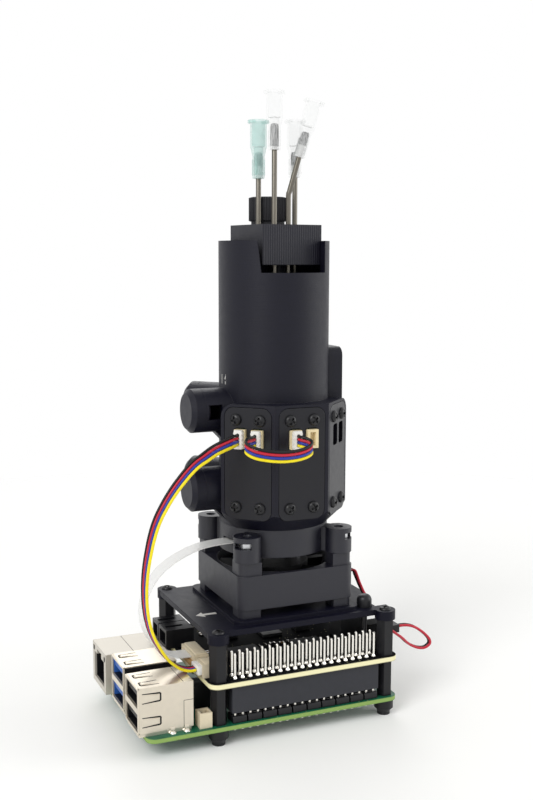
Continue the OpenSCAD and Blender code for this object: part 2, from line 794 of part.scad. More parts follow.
module lower_standoffs() color("#222327") at_holes() translate([0, 0, board_top]) difference() {
    hex_rod(lower_standoff_af, lower_standoff_h);
    translate([0, 0, -eps]) cylinder(r = screw_r + shank_gap, h = lower_bore_low);
    translate([0, 0, lower_standoff_h - lower_bore_high]) cylinder(r = screw_r + shank_gap,
        h = lower_bore_high + eps);
}

module upper_standoffs() color("#222327") at_holes() translate([0, 0, stack_top]) {
    difference() {
        hex_rod(upper_standoff_af, upper_standoff_h);
        translate([0, 0, upper_standoff_h - upper_bore]) cylinder(r = screw_r + shank_gap,
            h = upper_bore + eps);
    }
    translate([0, 0, -stack_t - stud_l]) cylinder(r = screw_r, h = stack_t + stud_l + eps);
}

module plate_screws() color("#1d1e21") at_holes() translate([0, 0, plate_top]) difference() {
    union() {
        cylinder(r = plate_screw_head_r, h = plate_screw_head_h);
        translate([0, 0, -plate_screw_l]) cylinder(r = screw_r, h = plate_screw_l + eps);
    }
    translate([0, 0, plate_screw_head_h]) cross_recess();
}

// The plate over the stack board

module top_plate() color("#2a2b30") difference() {
    union() {
        translate([plate_x0, -plate_w / 2, plate_z]) cube([plate_x1 - plate_x0, plate_w, plate_t]);
        at_holes() translate([0, 0, boss_z]) cylinder(r = boss_r, h = boss_h + plate_t);
        translate([0, 0, plate_top - eps]) linear_extrude(pad_h + eps) rounded_rect(pad_side, pad_side,
            pad_corner_r);
    }
    at_holes() translate([0, 0, boss_z - eps]) cylinder(r = hole_r, h = boss_h + plate_t + 2 * eps);
    at_towers() translate([0, 0, plate_z - eps]) cylinder(r = long_hole_r, h = plate_t + pad_h + 2 * eps);
    translate([button_at[0], button_at[1], plate_z - eps]) cylinder(r = button_r + run_gap,
        h = plate_t + 2 * eps);
    translate([0, 0, plate_z - eps]) linear_extrude(plate_t + 2 * eps) polygon(notch_points);
}

module button_cap() color("#1c1d20") translate([button_at[0], button_at[1], 0]) {
    translate([0, 0, plate_z]) rotate_extrude() {
        square([button_r, plate_t + button_dome_h - button_dome_r]);
        square([button_r - button_dome_r, plate_t + button_dome_h]);
        translate([button_r - button_dome_r, plate_t + button_dome_h - button_dome_r]) intersection() {
            circle(button_dome_r);
            square(button_dome_r);
        }
    }
    translate([0, 0, stack_top + switch_size[2] - switch_bore_depth + button_travel + run_gap])
        cylinder(r = button_stem_r,
            h = plate_z - stack_top - switch_size[2] + switch_bore_depth - button_travel);
}

// Magnetic stirrer

module frame_outline() rounded_rect(frame_side, frame_side, frame_corner_r);

// The plan of the four feet or posts, which stand back a step from the band
module frame_corners(side) intersection() {
    rounded_rect(frame_side - 2 * frame_step, frame_side - 2 * frame_step, frame_corner_r - frame_step);
    for (x = [-1, 1], y = [-1, 1])
        translate([x * (frame_side - side) / 2, y * (frame_side - side) / 2]) square(side, center = true);
}

module stirrer_housing() color("#2b2c33") difference() {
    union() {
        translate([0, 0, band_z]) linear_extrude(band_h) frame_outline();
        translate([0, 0, frame_z]) linear_extrude(frame_foot_h + eps) frame_corners(frame_foot_side);
        translate([0, 0, band_z + band_h - eps]) linear_extrude(post_h + eps) frame_corners(post_side);
    }
    difference() {
        translate([0, 0, frame_z - eps]) cylinder(r = rotor_space_r,
            h = frame_foot_h + band_h + post_h + 2 * eps);
        translate([0, 0, band_z]) {
            cylinder(r = hub_plate_r, h = hub_plate_t);
            for (a = [0:90:270]) rotate([0, 0, a]) translate([0, -strut_w / 2, 0])
                cube([frame_side / 2, strut_w, hub_plate_t]);
        }
    }
    at_towers() translate([0, 0, frame_z - eps])
        cylinder(r = long_hole_r, h = frame_foot_h + band_h + post_h + 2 * eps);
}

module stirrer_bearing() color("#b8a070") translate([0, 0, band_z + hub_plate_t]) difference() {
    cylinder(r = bearing_r, h = bearing_h);
    translate([0, 0, -eps]) cylinder(r = shaft_r + run_gap, h = bearing_h + 2 * eps);
}

module stirrer_stator() color("#a8683a") translate([0, 0, band_z + hub_plate_t]) difference() {
    cylinder(r = stator_r, h = stator_h);
    translate([0, 0, -eps]) cylinder(r = bearing_r, h = stator_h + 2 * eps);
}

module rotor() color("#2a2b30") translate([0, 0, band_z + hub_plate_t + cup_lift]) {
    difference() {
        cylinder(r = rotor_r, h = cup_h);
        translate([0, 0, -eps]) cylinder(r = rotor_r - cup_wall, h = cup_h - cup_top_t + eps);
    }
    translate([0, 0, cup_h - cup_top_t - shaft_l]) cylinder(r = shaft_r, h = shaft_l + eps);
    for (i = [0:blade_count - 1]) rotate([0, 0, 360 * i / blade_count])
        translate([rotor_r - blade_root, 0, blade_z + blade_root]) rotate([blade_tilt, 0, 0])
            translate([0, -blade_t / 2, -blade_h / 2]) cube([blade_reach - rotor_r + blade_root,
                blade_t, blade_h]);
}

rotor_top = band_z + hub_plate_t + cup_lift + cup_h;

module rotor_magnets() color("#c9c9cc") for (x = [-1, 1]) translate([x * magnet_circle_r, 0, rotor_top])
    cylinder(r = magnet_r, h = magnet_h);

long_screw_l = ring_z + tower_h - long_tip - plate_z;

module tower_screws() color("#b9bbc0") at_towers() translate([0, 0, plate_z]) difference() {
    union() {
        translate([0, 0, -long_head_h]) cylinder(r = long_head_r, h = long_head_h);
        translate([0, 0, -eps]) cylinder(r = long_screw_r, h = long_screw_l + eps);
    }
    translate([0, 0, -long_head_h - eps]) hex_rod(hex_drive_af, hex_drive_h);
}

// Turns a child at a tower so that its X axis points away from the vial
module facing_out() for (a = [45:90:315]) rotate([0, 0, a]) translate([tower_xy * sqrt(2), 0, 0])
    children();

module tower_nuts() color("#c4c6ca") facing_out() translate([0, 0, ring_z + nut_z]) difference() {
    hex_rod(nut_af, nut_t);
    translate([0, 0, -eps]) cylinder(r = long_screw_r + shank_gap, h = nut_t + 2 * eps);
}

module holder_base() color("#2b2c33") difference() {
    union() {
        translate([0, 0, ring_z]) cylinder(r = tube_r, h = ring_h);
        facing_out() translate([0, 0, ring_z]) cylinder(r = tower_r, h = tower_h);
        for (a = [45:90:315]) rotate([0, 0, a]) translate([ring_bore_r, -web_w / 2, ring_z])
            cube([web_reach - ring_bore_r, web_w, tower_h]);
    }
    translate([0, 0, ring_z + floor_t]) cylinder(r = ring_bore_r, h = ring_h);
    translate([0, 0, ring_z - eps]) cylinder(r = floor_hole_r, h = ring_h);
    facing_out() {
        translate([0, 0, ring_z - eps]) cylinder(r = long_hole_r, h = tower_h + 2 * eps);
        translate([0, 0, ring_z + nut_z - nut_slot_gap]) {
            hex_rod(nut_af + 2 * nut_slot_gap, nut_t + 2 * nut_slot_gap);
            translate([0, -nut_af / 2 - nut_slot_gap, 0])
                cube([tower_r + eps, nut_af + 2 * nut_slot_gap, nut_t + 2 * nut_slot_gap]);
        }
    }
    translate([-tube_r - eps, ribbon_route[0][1] - heater_tab_w / 2 - heater_tab_gap,
        ring_z + floor_t - eps])
        cube([tube_r - ring_bore_r / 2, heater_tab_w + 2 * heater_tab_gap, heater_t + heater_tab_gap]);
}

module heater_board() color("#3a3d3f") translate([0, 0, ring_z + floor_t]) {
    cylinder(r = heater_r, h = heater_t);
    translate([-heater_tab_x, ribbon_route[0][1] - heater_tab_w / 2, 0]) cube([heater_tab_l,
        heater_tab_w, heater_t]);
}

// Vial holder

module at_panels() for (az = [-45, 0, 45]) rotate([0, 0, az]) children();

// A flat plate on the side at angle az, with its outer face at distance d
module side_slab(az, d, t, l, h, r, z) on_side(az, d - t, 0, z + h / 2) linear_extrude(t)
    rounded_rect(l, h, r);

module windows(d, t) for (s = socket_s) translate([s, -d, body_z + sensor_z]) rotate([90, 0, 0])
    translate([0, 0, -eps]) linear_extrude(t + 2 * eps) rounded_rect(window_size[0], window_size[1],
        window_r);

// Holes or shanks at the four screws of one panel, from distance d outward
module at_panel_screws(d) for (s = [-panel_screw_s, panel_screw_s], k = [-0.5, 0.5])
    translate([s, -d, body_z + panel_z + panel_h / 2 + k * panel_screw_span]) rotate([90, 0, 0]) children();

module at_pockets(d) for (az = pocket_sides, z = [pocket_low, pocket_high]) on_side(az, d, 0,
    body_z + z) children();

recess_d = body_apothem - panel_t - sensor_board_t;

side_half = body_apothem * tan(22.5);

// Three flat sides standing out at the front
module sides_outline() {
    inner = side_half * cos(45);
    polygon(concat([[-inner, inner]],
        [for (a = [-67.5:45:67.5]) body_apothem / cos(22.5) * [sin(a), -cos(a)]], [[inner, inner]]));
}

// What the rounding takes off the outer corners of the left and right sides
module corner_waste() {
    r = body_corner_r;
    for (k = [-1, 1], e = [0, 1]) on_side(45 * k, tube_r / 2, k * side_half, e * body_h)
        linear_extrude(body_apothem) difference() {
            translate([k > 0 ? -r : -eps, e > 0 ? -r : -eps]) square(r + eps);
            translate([-k * r, (1 - 2 * e) * r]) circle(r);
        }
}

module vial_holder() color("#2b2c33") difference() {
    union() {
        translate([0, 0, body_z]) cylinder(r = tube_r, h = body_h);
        translate([0, 0, body_z]) intersection() {
            difference() {
                linear_extrude(body_h) sides_outline();
                corner_waste();
            }
            rotate_extrude() polygon([[0, 0], [tube_r, 0], [body_apothem + cone_h,
                body_apothem + cone_h - tube_r],
                [body_apothem + cone_h, body_h], [0, body_h]]);
        }
        translate([0, 0, body_top - eps]) cylinder(r = tube_r, h = tube_l + eps);
        at_pockets(pocket_root) cylinder(r = pocket_cap_r, h = pocket_end - pocket_root);
        for (az = pocket_sides, z = [pocket_low, pocket_high]) rotate([0, 0, az]) translate([0, 0,
            body_z + z])
            rotate([90, 0, -90]) linear_extrude(gusset_t, center = true) polygon(gusset_points);
        translate([tab_x1 - tab_t, 0, body_z + tab_z + tab_h / 2]) rotate([0, 90, 0]) linear_extrude(tab_t)
            rounded_rect(tab_h, tab_w, tab_corner_r);
    }
    translate([0, 0, body_z - eps]) cylinder(r = bore_r, h = body_h + 2 * eps);
    translate([0, 0, body_top]) cylinder(r = tube_bore_r, h = tube_l + eps);
    translate([0, -eps, rim_z - notch_h]) rotate([90, 0, 0]) linear_extrude(tube_r)
        polygon([[notch_lean - notch_w / 2, 0], [notch_w / 2, 0], [notch_w / 2, notch_h + eps],
            [-notch_w / 2, notch_h + eps]]);
    for (az = [-45, 0]) side_slab(az, body_apothem + eps, panel_t + sensor_board_t + eps,
        panel_w + 2 * recess_gap, panel_h + 2 * recess_gap, panel_corner_r + recess_gap,
            body_z + panel_z - recess_gap);
    side_slab(45, body_apothem + eps, panel_t + eps, panel_w + 2 * recess_gap, panel_h + 2 * recess_gap,
        panel_corner_r + recess_gap, body_z + panel_z - recess_gap);
    rotate([0, 0, 45]) windows(body_apothem - panel_t - empty_window_depth, empty_window_depth);
    for (az = [-45, 0], z = [pocket_low, pocket_high]) on_side(az, bore_r - light_hole_r, 0, body_z + z)
        cylinder(r = light_hole_r, h = body_apothem - bore_r);
    at_panels() at_panel_screws(body_apothem - panel_screw_l) cylinder(r = panel_screw_r + shank_gap,
        h = panel_screw_l);
    at_pockets(bore_r - light_r) cylinder(r = light_r + light_gap, h = pocket_end - bore_r);
    at_pockets(pocket_floor) cylinder(r = pocket_bore_r, h = pocket_end - pocket_floor + eps);
    for (az = pocket_sides) rotate([0, 0, az])
        translate([0, -pocket_window_d - pocket_window[0], body_z + pocket_high - pocket_window[1] / 2])
            cube([pocket_cap_r + eps, pocket_window[0], pocket_window[1]]);
}

module panel(az) color("#262628") difference() {
    side_slab(az, body_apothem, panel_t, panel_w, panel_h, panel_corner_r, body_z + panel_z);
    rotate([0, 0, az]) {
        windows(body_apothem - panel_t, panel_t);
        at_panel_screws(recess_d) cylinder(r = panel_screw_r + panel_hole_gap,
            h = body_apothem - recess_d + eps);
    }
}

module left_panel() panel(-45);

module front_panel() panel(0);

module right_panel() panel(45);

module panel_screws() color("#1b1b1e") at_panels() at_panel_screws(body_apothem) difference() {
    union() {
        cylinder(r = panel_screw_head_r, h = panel_screw_head_h);
        translate([0, 0, shank_gap - panel_screw_l]) cylinder(r = panel_screw_r, h = panel_screw_l);
    }
    translate([0, 0, panel_screw_head_h]) cross_recess();
}

module sensor_boards() color("#243a30") for (az = [-45, 0]) difference() {
    side_slab(az, body_apothem - panel_t, sensor_board_t, panel_w, panel_h, panel_corner_r,
        body_z + panel_z);
    rotate([0, 0, az]) at_panel_screws(recess_d - eps)
        cylinder(r = panel_screw_r + panel_hole_gap, h = sensor_board_t + 2 * eps);
}

module sensor_sockets() color("#e8d9b0") for (az = [-45, 0], s = socket_s)
    on_side(az, body_apothem - panel_t, s, body_z + sensor_z) difference() {
        translate([-sensor_socket_size[0] / 2, -sensor_socket_size[1] / 2, 0]) cube(sensor_socket_size);
        translate([-plug_size[2] / 2 - plug_gap, -plug_size[1] / 2 - plug_gap,
            sensor_socket_size[2] - plug_size[0] - plug_gap])
            cube([plug_size[2] + 2 * plug_gap, plug_size[1] + 2 * plug_gap, sensor_socket_size[2]]);
    }

module pocket_caps() color("#242529") at_pockets(pocket_end) difference() {
    union() {
        rotate_extrude() polygon([[0, 0], [pocket_cap_r, 0], [pocket_cap_r, pocket_cap_l - cap_bevel],
            [pocket_cap_r - cap_bevel, pocket_cap_l], [0, pocket_cap_l]]);
        translate([0, 0, -cap_spigot_l]) cylinder(r = pocket_bore_r - cap_spigot_gap,
            h = cap_spigot_l + eps);
    }
    translate([0, 0, -cap_spigot_l - eps]) cylinder(r = cap_hollow_r,
        h = cap_spigot_l + pocket_cap_l - cap_end_t);
}

module light_units() color("#dfe6ea") {
    at_pockets(light_tip) cylinder(r = light_r, h = pocket_floor - light_tip + eps);
    at_pockets(pocket_floor) cylinder(r = pocket_bore_r - light_gap, h = light_board_t);
}

// Vial, cap, block and plug

module vial() color("#dfe8ea") translate([0, 0, vial_z]) rotate_extrude() {
    shoulder = vial_h - neck_l - shoulder_h;
    polygon([[0, 0], [vial_r, 0], [vial_r, shoulder], [neck_r, shoulder + shoulder_h], [neck_r, vial_h],
        [neck_bore_r, vial_h], [neck_bore_r, shoulder + shoulder_h], [vial_r - glass_t, shoulder],
        [vial_r - glass_t, glass_floor_t], [0, glass_floor_t]]);
}

module vial_cap() color("#1f2023") difference() {
    translate([0, 0, lip_z + cap_lip_t - cap_h]) cylinder(r = cap_r, h = cap_h);
    translate([0, 0, lip_z + cap_lip_t - cap_h - eps]) cylinder(r = neck_r + run_gap,
        h = cap_h - cap_lip_t + eps);
    translate([0, 0, lip_z - eps]) cylinder(r = cap_hole_r, h = cap_lip_t + 2 * eps);
}

// Needle holes from height z up to height z + h
module needle_holes(z, h) for (p = needle_at) translate([p[0], p[1], z])
    cylinder(r = needle_r + needle_hole_gap, h = h);

module septum() color("#e6e2d6") difference() {
    union() {
        translate([0, 0, vial_top]) cylinder(r = septum_r, h = septum_t);
        translate([0, 0, lip_z - eps]) cylinder(r = cap_hole_r - septum_rise_gap, h = septum_rise + eps);
    }
    needle_holes(vial_top - eps, septum_t + septum_rise + 2 * eps);
}

module cap_block() color("#26272c") difference() {
    union() {
        translate([block_x, block_y, block_z]) rotate([0, 0, block_turn])
            translate([-block_side / 2, -block_side / 2, 0]) cube([block_side, block_side, block_h]);
        translate([block_foot_at[0], block_foot_at[1], septum_top]) cylinder(r = block_foot_r,
            h = block_foot_h + eps);
    }
    needle_holes(block_z - eps, block_h + 2 * eps);
    translate([plug_at[0], plug_at[1], block_top - plug_shank_l - plug_bore_spare])
        cylinder(r = plug_shank_r + run_gap, h = plug_shank_l + plug_bore_spare + eps);
}

module port_plug() color("#3a3b40") translate([plug_at[0], plug_at[1], block_top]) {
    translate([0, 0, -plug_shank_l]) cylinder(r = plug_shank_r, h = plug_shank_l + eps);
    cylinder(r = plug_neck_r, h = plug_neck_h + eps);
    translate([0, 0, plug_neck_h]) difference() {
        cylinder(r = plug_r, h = plug_head_h);
        for (i = [0:knurl_count - 1]) rotate([0, 0, 360 * i / knurl_count])
            translate([plug_r - knurl_d, -knurl_w / 2, -eps]) cube([knurl_w, knurl_w,
                plug_head_h + 2 * eps]);
    }
}

// Needles: a steel tube moulded into a hub

module needle_hub() difference() {
    rotate_extrude() polygon([[0, 0], [hub_low_r, 0], [hub_low_r, hub_low_l], [hub_high_r,
        hub_low_l + hub_taper_l],
        [hub_high_r, hub_l - hub_flange_t], [hub_flange_r, hub_l - hub_flange_t], [hub_flange_r,
            hub_l], [0, hub_l]]);
    translate([0, 0, -eps]) cylinder(r = needle_r, h = hub_bore_l);
    translate([0, 0, hub_l - hub_mouth_l]) cylinder(r = hub_mouth_r, h = hub_mouth_l + eps);
}

module straight_needle(i, tint) translate([needle_at[i][0], needle_at[i][1], 0]) {
    color("#8a8880") translate([0, 0, needle_foot[i]])
        cylinder(r = needle_r, h = needle_hub[i] + hub_bore_l - needle_foot[i] - eps);
    color(tint) translate([0, 0, needle_hub[i]]) needle_hub();
}

module needle_1() straight_needle(0, "#a9d8cf");

module needle_2() straight_needle(1, "#c9ccca");

// A length of tube that ends at the origin in a cut leaned by angle a
module mitred_tube(l, a) difference() {
    translate([0, 0, -l]) cylinder(r = needle_r, h = l + needle_r);
    rotate([0, a, 0]) translate([-2 * needle_r, -2 * needle_r, 0]) cube(4 * needle_r);
}

module needle_3() translate([needle_at[2][0], needle_at[2][1], needle_bend_z]) rotate([0, 0,
    needle_lean_turn]) {
    lean_l = (needle_hub[2] - needle_bend_z) / cos(needle_lean);
    color("#8a8880") {
        mitred_tube(needle_bend_z - needle_foot[2], needle_lean / 2);
        rotate([0, needle_lean, 0]) mirror([0, 0, 1]) mitred_tube(lean_l + hub_bore_l - eps,
            needle_lean / 2);
    }
    color("#c9ccca") rotate([0, needle_lean, 0]) translate([0, 0, lean_l]) needle_hub();
}

module needle_4() straight_needle(3, "#c9ccca");

module stir_bar() color("#f2f2ee") translate([0, 0, vial_z + glass_floor_t + stir_ring_r]) rotate([0,
    90, 0]) {
    cylinder(r = stir_bar_r, h = stir_bar_l - 2 * stir_bar_r, center = true);
    cylinder(r = stir_ring_r, h = stir_ring_w, center = true);
    for (k = [-1, 1]) translate([0, 0, k * (stir_bar_l / 2 - stir_bar_r)]) sphere(stir_bar_r);
}

// Cables

module wires(route, ref, along, twist) for (k = [0:wire_count - 1])
    swept(route, disc(wire_r), ref, (k - (wire_count - 1) / 2) * wire_step * along, twist);

module bus_cable() color("#f5d020") wires(bus_route, [0, 1, 0], [1, 0], bus_twist);

module jumper_cable() color("#c8323c") wires(jumper_route, [0, 0, 1], [0, 1], 0);

module motor_leads() color("#c8323c") for (k = [-0.5, 0.5])
    swept(lead_route, disc(lead_r), [0, 1, 0], [0, k * lead_step]);

module heater_ribbon() color("#f0f0ee")
    swept(ribbon_route, [[-ribbon_t, -ribbon_w] / 2, [ribbon_t, -ribbon_w] / 2, [ribbon_t, ribbon_w] / 2,
        [-ribbon_t, ribbon_w] / 2], [0, 1, 0]);

// A plug standing on the floor of its socket, with its wires' end up
module wire_plug() {
    translate([-plug_size[2] / 2, -plug_size[1] / 2, 0]) cube([plug_size[2], plug_size[1],
        plug_size[0] + eps]);
    translate([-plug_head_size[2] / 2, -plug_head_size[1] / 2, plug_size[0]])
        cube([plug_head_size[2], plug_head_size[1], plug_head_size[0]]);
}

module cable_plugs() color("#f4f2ea") {
    for (p = [[-45, socket_s[0]], [-45, socket_s[1]], [0, socket_s[0]]])
        on_side(p[0], body_apothem - panel_t + sensor_socket_size[2] - plug_size[0], p[1],
            body_z + sensor_z)
            wire_plug();
    translate([bus_socket_at[0] + plug_size[0], bus_socket_at[1] + bus_socket_size[1] / 2,
        stack_top + bus_plug_z])
        rotate([0, -90, 0]) wire_plug();
}

// Parts
computer_board();
usb_jack_black();
usb_jack_blue();
network_jack();
fan_header();
pin_header();
board_chips();
edge_sockets();
memory_card();
power_button();
stack_board();
socket_header();
long_pins();
stack_chips();
black_sockets();
ribbon_socket();
ribbon_latch();
bus_socket();
button_switch();
motor_plug();
motor_header();
feet();
lower_standoffs();
upper_standoffs();
plate_screws();
top_plate();
button_cap();
stirrer_housing();
stirrer_stator();
stirrer_bearing();
rotor();
rotor_magnets();
tower_screws();
tower_nuts();
holder_base();
heater_board();
vial_holder();
left_panel();
front_panel();
right_panel();
panel_screws();
sensor_boards();
sensor_sockets();
pocket_caps();
light_units();
vial();
vial_cap();
septum();
cap_block();
port_plug();
needle_1();
needle_2();
needle_3();
needle_4();
stir_bar();
bus_cable();
jumper_cable();
motor_leads();
heater_ribbon();
cable_plugs();
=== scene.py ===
"""Bench bioreactor: a vial holder on a magnetic stirrer, on two stacked circuit boards.

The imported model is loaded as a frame. Each operator makes one piece, or a group of like
pieces, in the frame's own place. Lengths are metres; MM turns millimetres into them.
"""

import math
import random

import bmesh
import bpy
from bpy.props import FloatProperty, FloatVectorProperty, IntProperty, PointerProperty
from bpy.types import Operator, Panel, PropertyGroup
from mathutils import Matrix, Vector


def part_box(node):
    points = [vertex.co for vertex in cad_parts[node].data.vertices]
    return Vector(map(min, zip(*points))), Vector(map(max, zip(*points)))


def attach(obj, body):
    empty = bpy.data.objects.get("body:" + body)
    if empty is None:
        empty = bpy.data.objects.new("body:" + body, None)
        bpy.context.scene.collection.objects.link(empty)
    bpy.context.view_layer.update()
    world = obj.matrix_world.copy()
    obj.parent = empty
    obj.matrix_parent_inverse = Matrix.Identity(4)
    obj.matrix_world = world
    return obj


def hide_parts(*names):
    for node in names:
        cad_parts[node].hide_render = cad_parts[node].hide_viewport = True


bl_info = {
    "name": "Bench bioreactor",
    "version": (1, 0, 0),
    "blender": (4, 5, 0),
    "location": "View3D > Sidebar > Bioreactor",
    "description": "Adds a bench bioreactor's looks around its packed model",
    "category": "Add Mesh",
}

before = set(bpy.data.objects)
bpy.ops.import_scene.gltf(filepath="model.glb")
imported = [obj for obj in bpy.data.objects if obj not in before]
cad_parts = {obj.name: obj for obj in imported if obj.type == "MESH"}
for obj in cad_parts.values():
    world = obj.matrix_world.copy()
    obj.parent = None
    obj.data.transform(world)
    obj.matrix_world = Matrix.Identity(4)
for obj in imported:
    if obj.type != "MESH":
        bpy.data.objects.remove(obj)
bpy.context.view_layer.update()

MM = 0.001
MERGE = 0.0001 * MM


def tint(code):
    """A hex colour, such as 2b2b33, as linear red, green and blue."""
    parts = [int(code[i : i + 2], 16) / 255 for i in (0, 2, 4)]
    return tuple(p / 12.92 if p <= 0.04045 else ((p + 0.055) / 1.055) ** 2.4 for p in parts)


def mm(*values):
    """A point given in millimetres."""
    return Vector([v * MM for v in values])


def length_prop(name, description, millimetres):
    """A length that a user may change."""
    return FloatProperty(
        name=name, description=description, default=millimetres * MM, unit="LENGTH", min=0, precision=5
    )


def angle_prop(name, description, degrees):
    """An angle that a user may change."""
    return FloatProperty(
        name=name, description=description, default=math.radians(degrees), subtype="ANGLE"
    )


def colour_prop(name, description, code):
    """A colour that a user may change."""
    return FloatVectorProperty(
        name=name, description=description, default=tint(code), subtype="COLOR", min=0, max=1
    )


class StageSettings(PropertyGroup):
    """The camera, the floor and the lamps."""

    camera_place: FloatVectorProperty(
        name="Camera place",
        description="Where the camera stands",
        default=(-0.1425, -0.3205, 0.1485),
        subtype="XYZ",
        unit="LENGTH",
    )
    camera_turn: angle_prop("Camera turn", "Turn of the camera about the vertical", -23.6)
    camera_rise: angle_prop("Camera rise", "Angle at which the camera looks down", 7.53)
    camera_roll: angle_prop("Camera roll", "Roll of the camera about its own axis", 0.12)
    lens: FloatProperty(name="Lens", description="Focal length in millimetres", default=48.76, min=1)
    floor: colour_prop("Floor", "Colour of the floor", "fdfdfb")
    lamp_power: FloatProperty(
        name="Lamp power", description="Watts of the main lamp", default=5.8, min=0, unit="POWER"
    )
    world_light: FloatProperty(
        name="World light", description="Strength of the light from all round", default=0.62, min=0
    )


class ColourSettings(PropertyGroup):
    """The finishes' colours."""

    printed: colour_prop("Printed plastic", "The printed body, base and plate", "0c0c1a")
    panel: colour_prop("Panels", "The screwed side panels", "0d0d15")
    moulded: colour_prop("Black mouldings", "Sockets, headers and standoffs", "0f0f13")
    mask: colour_prop("Solder mask", "Top of the computer board", "0f5a40")
    mask_edge: colour_prop("Board edge", "Cut edge of the computer board", "8fae5e")
    stack_mask: colour_prop("Dark solder mask", "Top of the stack board", "0b0c0f")
    stack_edge: colour_prop("Pale board edge", "Cut edge of the stack board", "fbf5c8")
    shell: colour_prop("Jack shells", "Plated sheet metal of the jacks", "dfd6c6")
    pin: colour_prop("Pins", "Tinned pins and solder", "f2efe8")
    cream: colour_prop("Cream plastic", "Board sockets", "ead9ae")
    white: colour_prop("White plastic", "Wire plugs and the board's push button", "f2f0ea")
    tongue_blue: colour_prop("Fast tongues", "Tongues of the faster serial jack", "2f62b4")
    wire_black: colour_prop("Black wire", "Insulation", "0e0e10")
    wire_red: colour_prop("Red wire", "Insulation", "c4263a")
    wire_blue: colour_prop("Blue wire", "Insulation", "2b3ba0")
    wire_yellow: colour_prop("Yellow wire", "Insulation", "fae01c")
    ribbon: colour_prop("Flat cable", "Flat cable of the heater", "f6f6f4")
    needle: colour_prop("Needle steel", "Tubes of the needles", "6e6a62")
    green_hub: colour_prop("Green hub", "Hub of the first needle", "bfe4de")
    clear_hub: colour_prop("Clear hubs", "Hubs of the other needles", "f4f6f5")
    mark: colour_prop("Printed marks", "Arrow and numbers", "cfcdc8")


class SizeSettings(PropertyGroup):
    """Small sizes of the detailed pieces."""

    layer_height: length_prop("Layer height", "Height of one printed layer", 0.2)
    pin_point: length_prop("Pin point", "Length of a pin's tapered end", 0.45)
    solder_height: length_prop("Solder height", "Height of the solder round a pin", 1.2)
    solder_radius: length_prop("Solder radius", "Radius of the solder round a pin", 0.82)
    wire_radius: length_prop("Wire radius", "Radius of a signal wire", 0.46)
    wire_step: length_prop("Wire step", "Distance between neighbouring wires", 0.96)
    lead_radius: length_prop("Lead radius", "Radius of a motor lead", 0.45)
    lead_step: length_prop("Lead step", "Distance between the motor leads", 1.05)
    knurls: IntProperty(
        name="Knurls", description="Number of ridges round the plug's head", default=48, min=12
    )
    hub_wall: length_prop("Hub wall", "Wall of a needle's hub", 0.45)


def settings():
    """The scene's own settings of this model."""
    return bpy.context.scene.bioreactor


# Materials: socket arithmetic and one method that makes every node. Their numbers are in millimetres

RIB_STEP = 0.8
WINDING_STEP = 0.22
TRACE_LONG, TRACE_STEP = 4.6, 0.9


def operation(kind, reflected=False):
    """A method of Value that adds one Math node."""

    def apply(self, *others):
        values = (self, *others)
        return self.nodes.maths(kind, *(reversed(values) if reflected else values))

    return apply


class Value:
    """A number that varies over a surface, with Python's arithmetic."""

    def __init__(self, nodes, socket):
        self.nodes = nodes
        self.socket = socket

    __add__ = __radd__ = operation("ADD")
    __sub__ = operation("SUBTRACT")
    __rsub__ = operation("SUBTRACT", reflected=True)
    __mul__ = __rmul__ = operation("MULTIPLY")
    __truediv__ = operation("DIVIDE")
    __rtruediv__ = operation("DIVIDE", reflected=True)
    __gt__ = operation("GREATER_THAN")
    __lt__ = operation("LESS_THAN")
    __abs__ = operation("ABSOLUTE")
    fraction = operation("FRACT")

    def soft_step(self, low, high):
        """0 below low, 1 above high and a smooth rise between."""
        sockets = {"Value": self, "From Min": low, "From Max": high}
        return self.nodes.node("ShaderNodeMapRange", sockets, interpolation_type="SMOOTHSTEP")


class Nodes:
    """Makes the nodes of one material or world."""

    def __init__(self, owner):
        owner.use_nodes = True
        self.tree = owner.node_tree
        self.tree.nodes.clear()

    def node(self, kind, sockets=None, output=0, **first):
        """Makes a node: its settings first, then its sockets' values or links."""
        made = self.tree.nodes.new(kind)
        for key, value in first.items():
            setattr(made, key, value)
        for key, value in (sockets or {}).items():
            if isinstance(value, Value):
                self.tree.links.new(value.socket, made.inputs[key])
            else:
                made.inputs[key].default_value = value
        return Value(self, made.outputs[output]) if made.outputs else None

    def maths(self, kind, *values):
        """A Math node of one kind."""
        return self.node("ShaderNodeMath", dict(enumerate(values)), operation=kind)


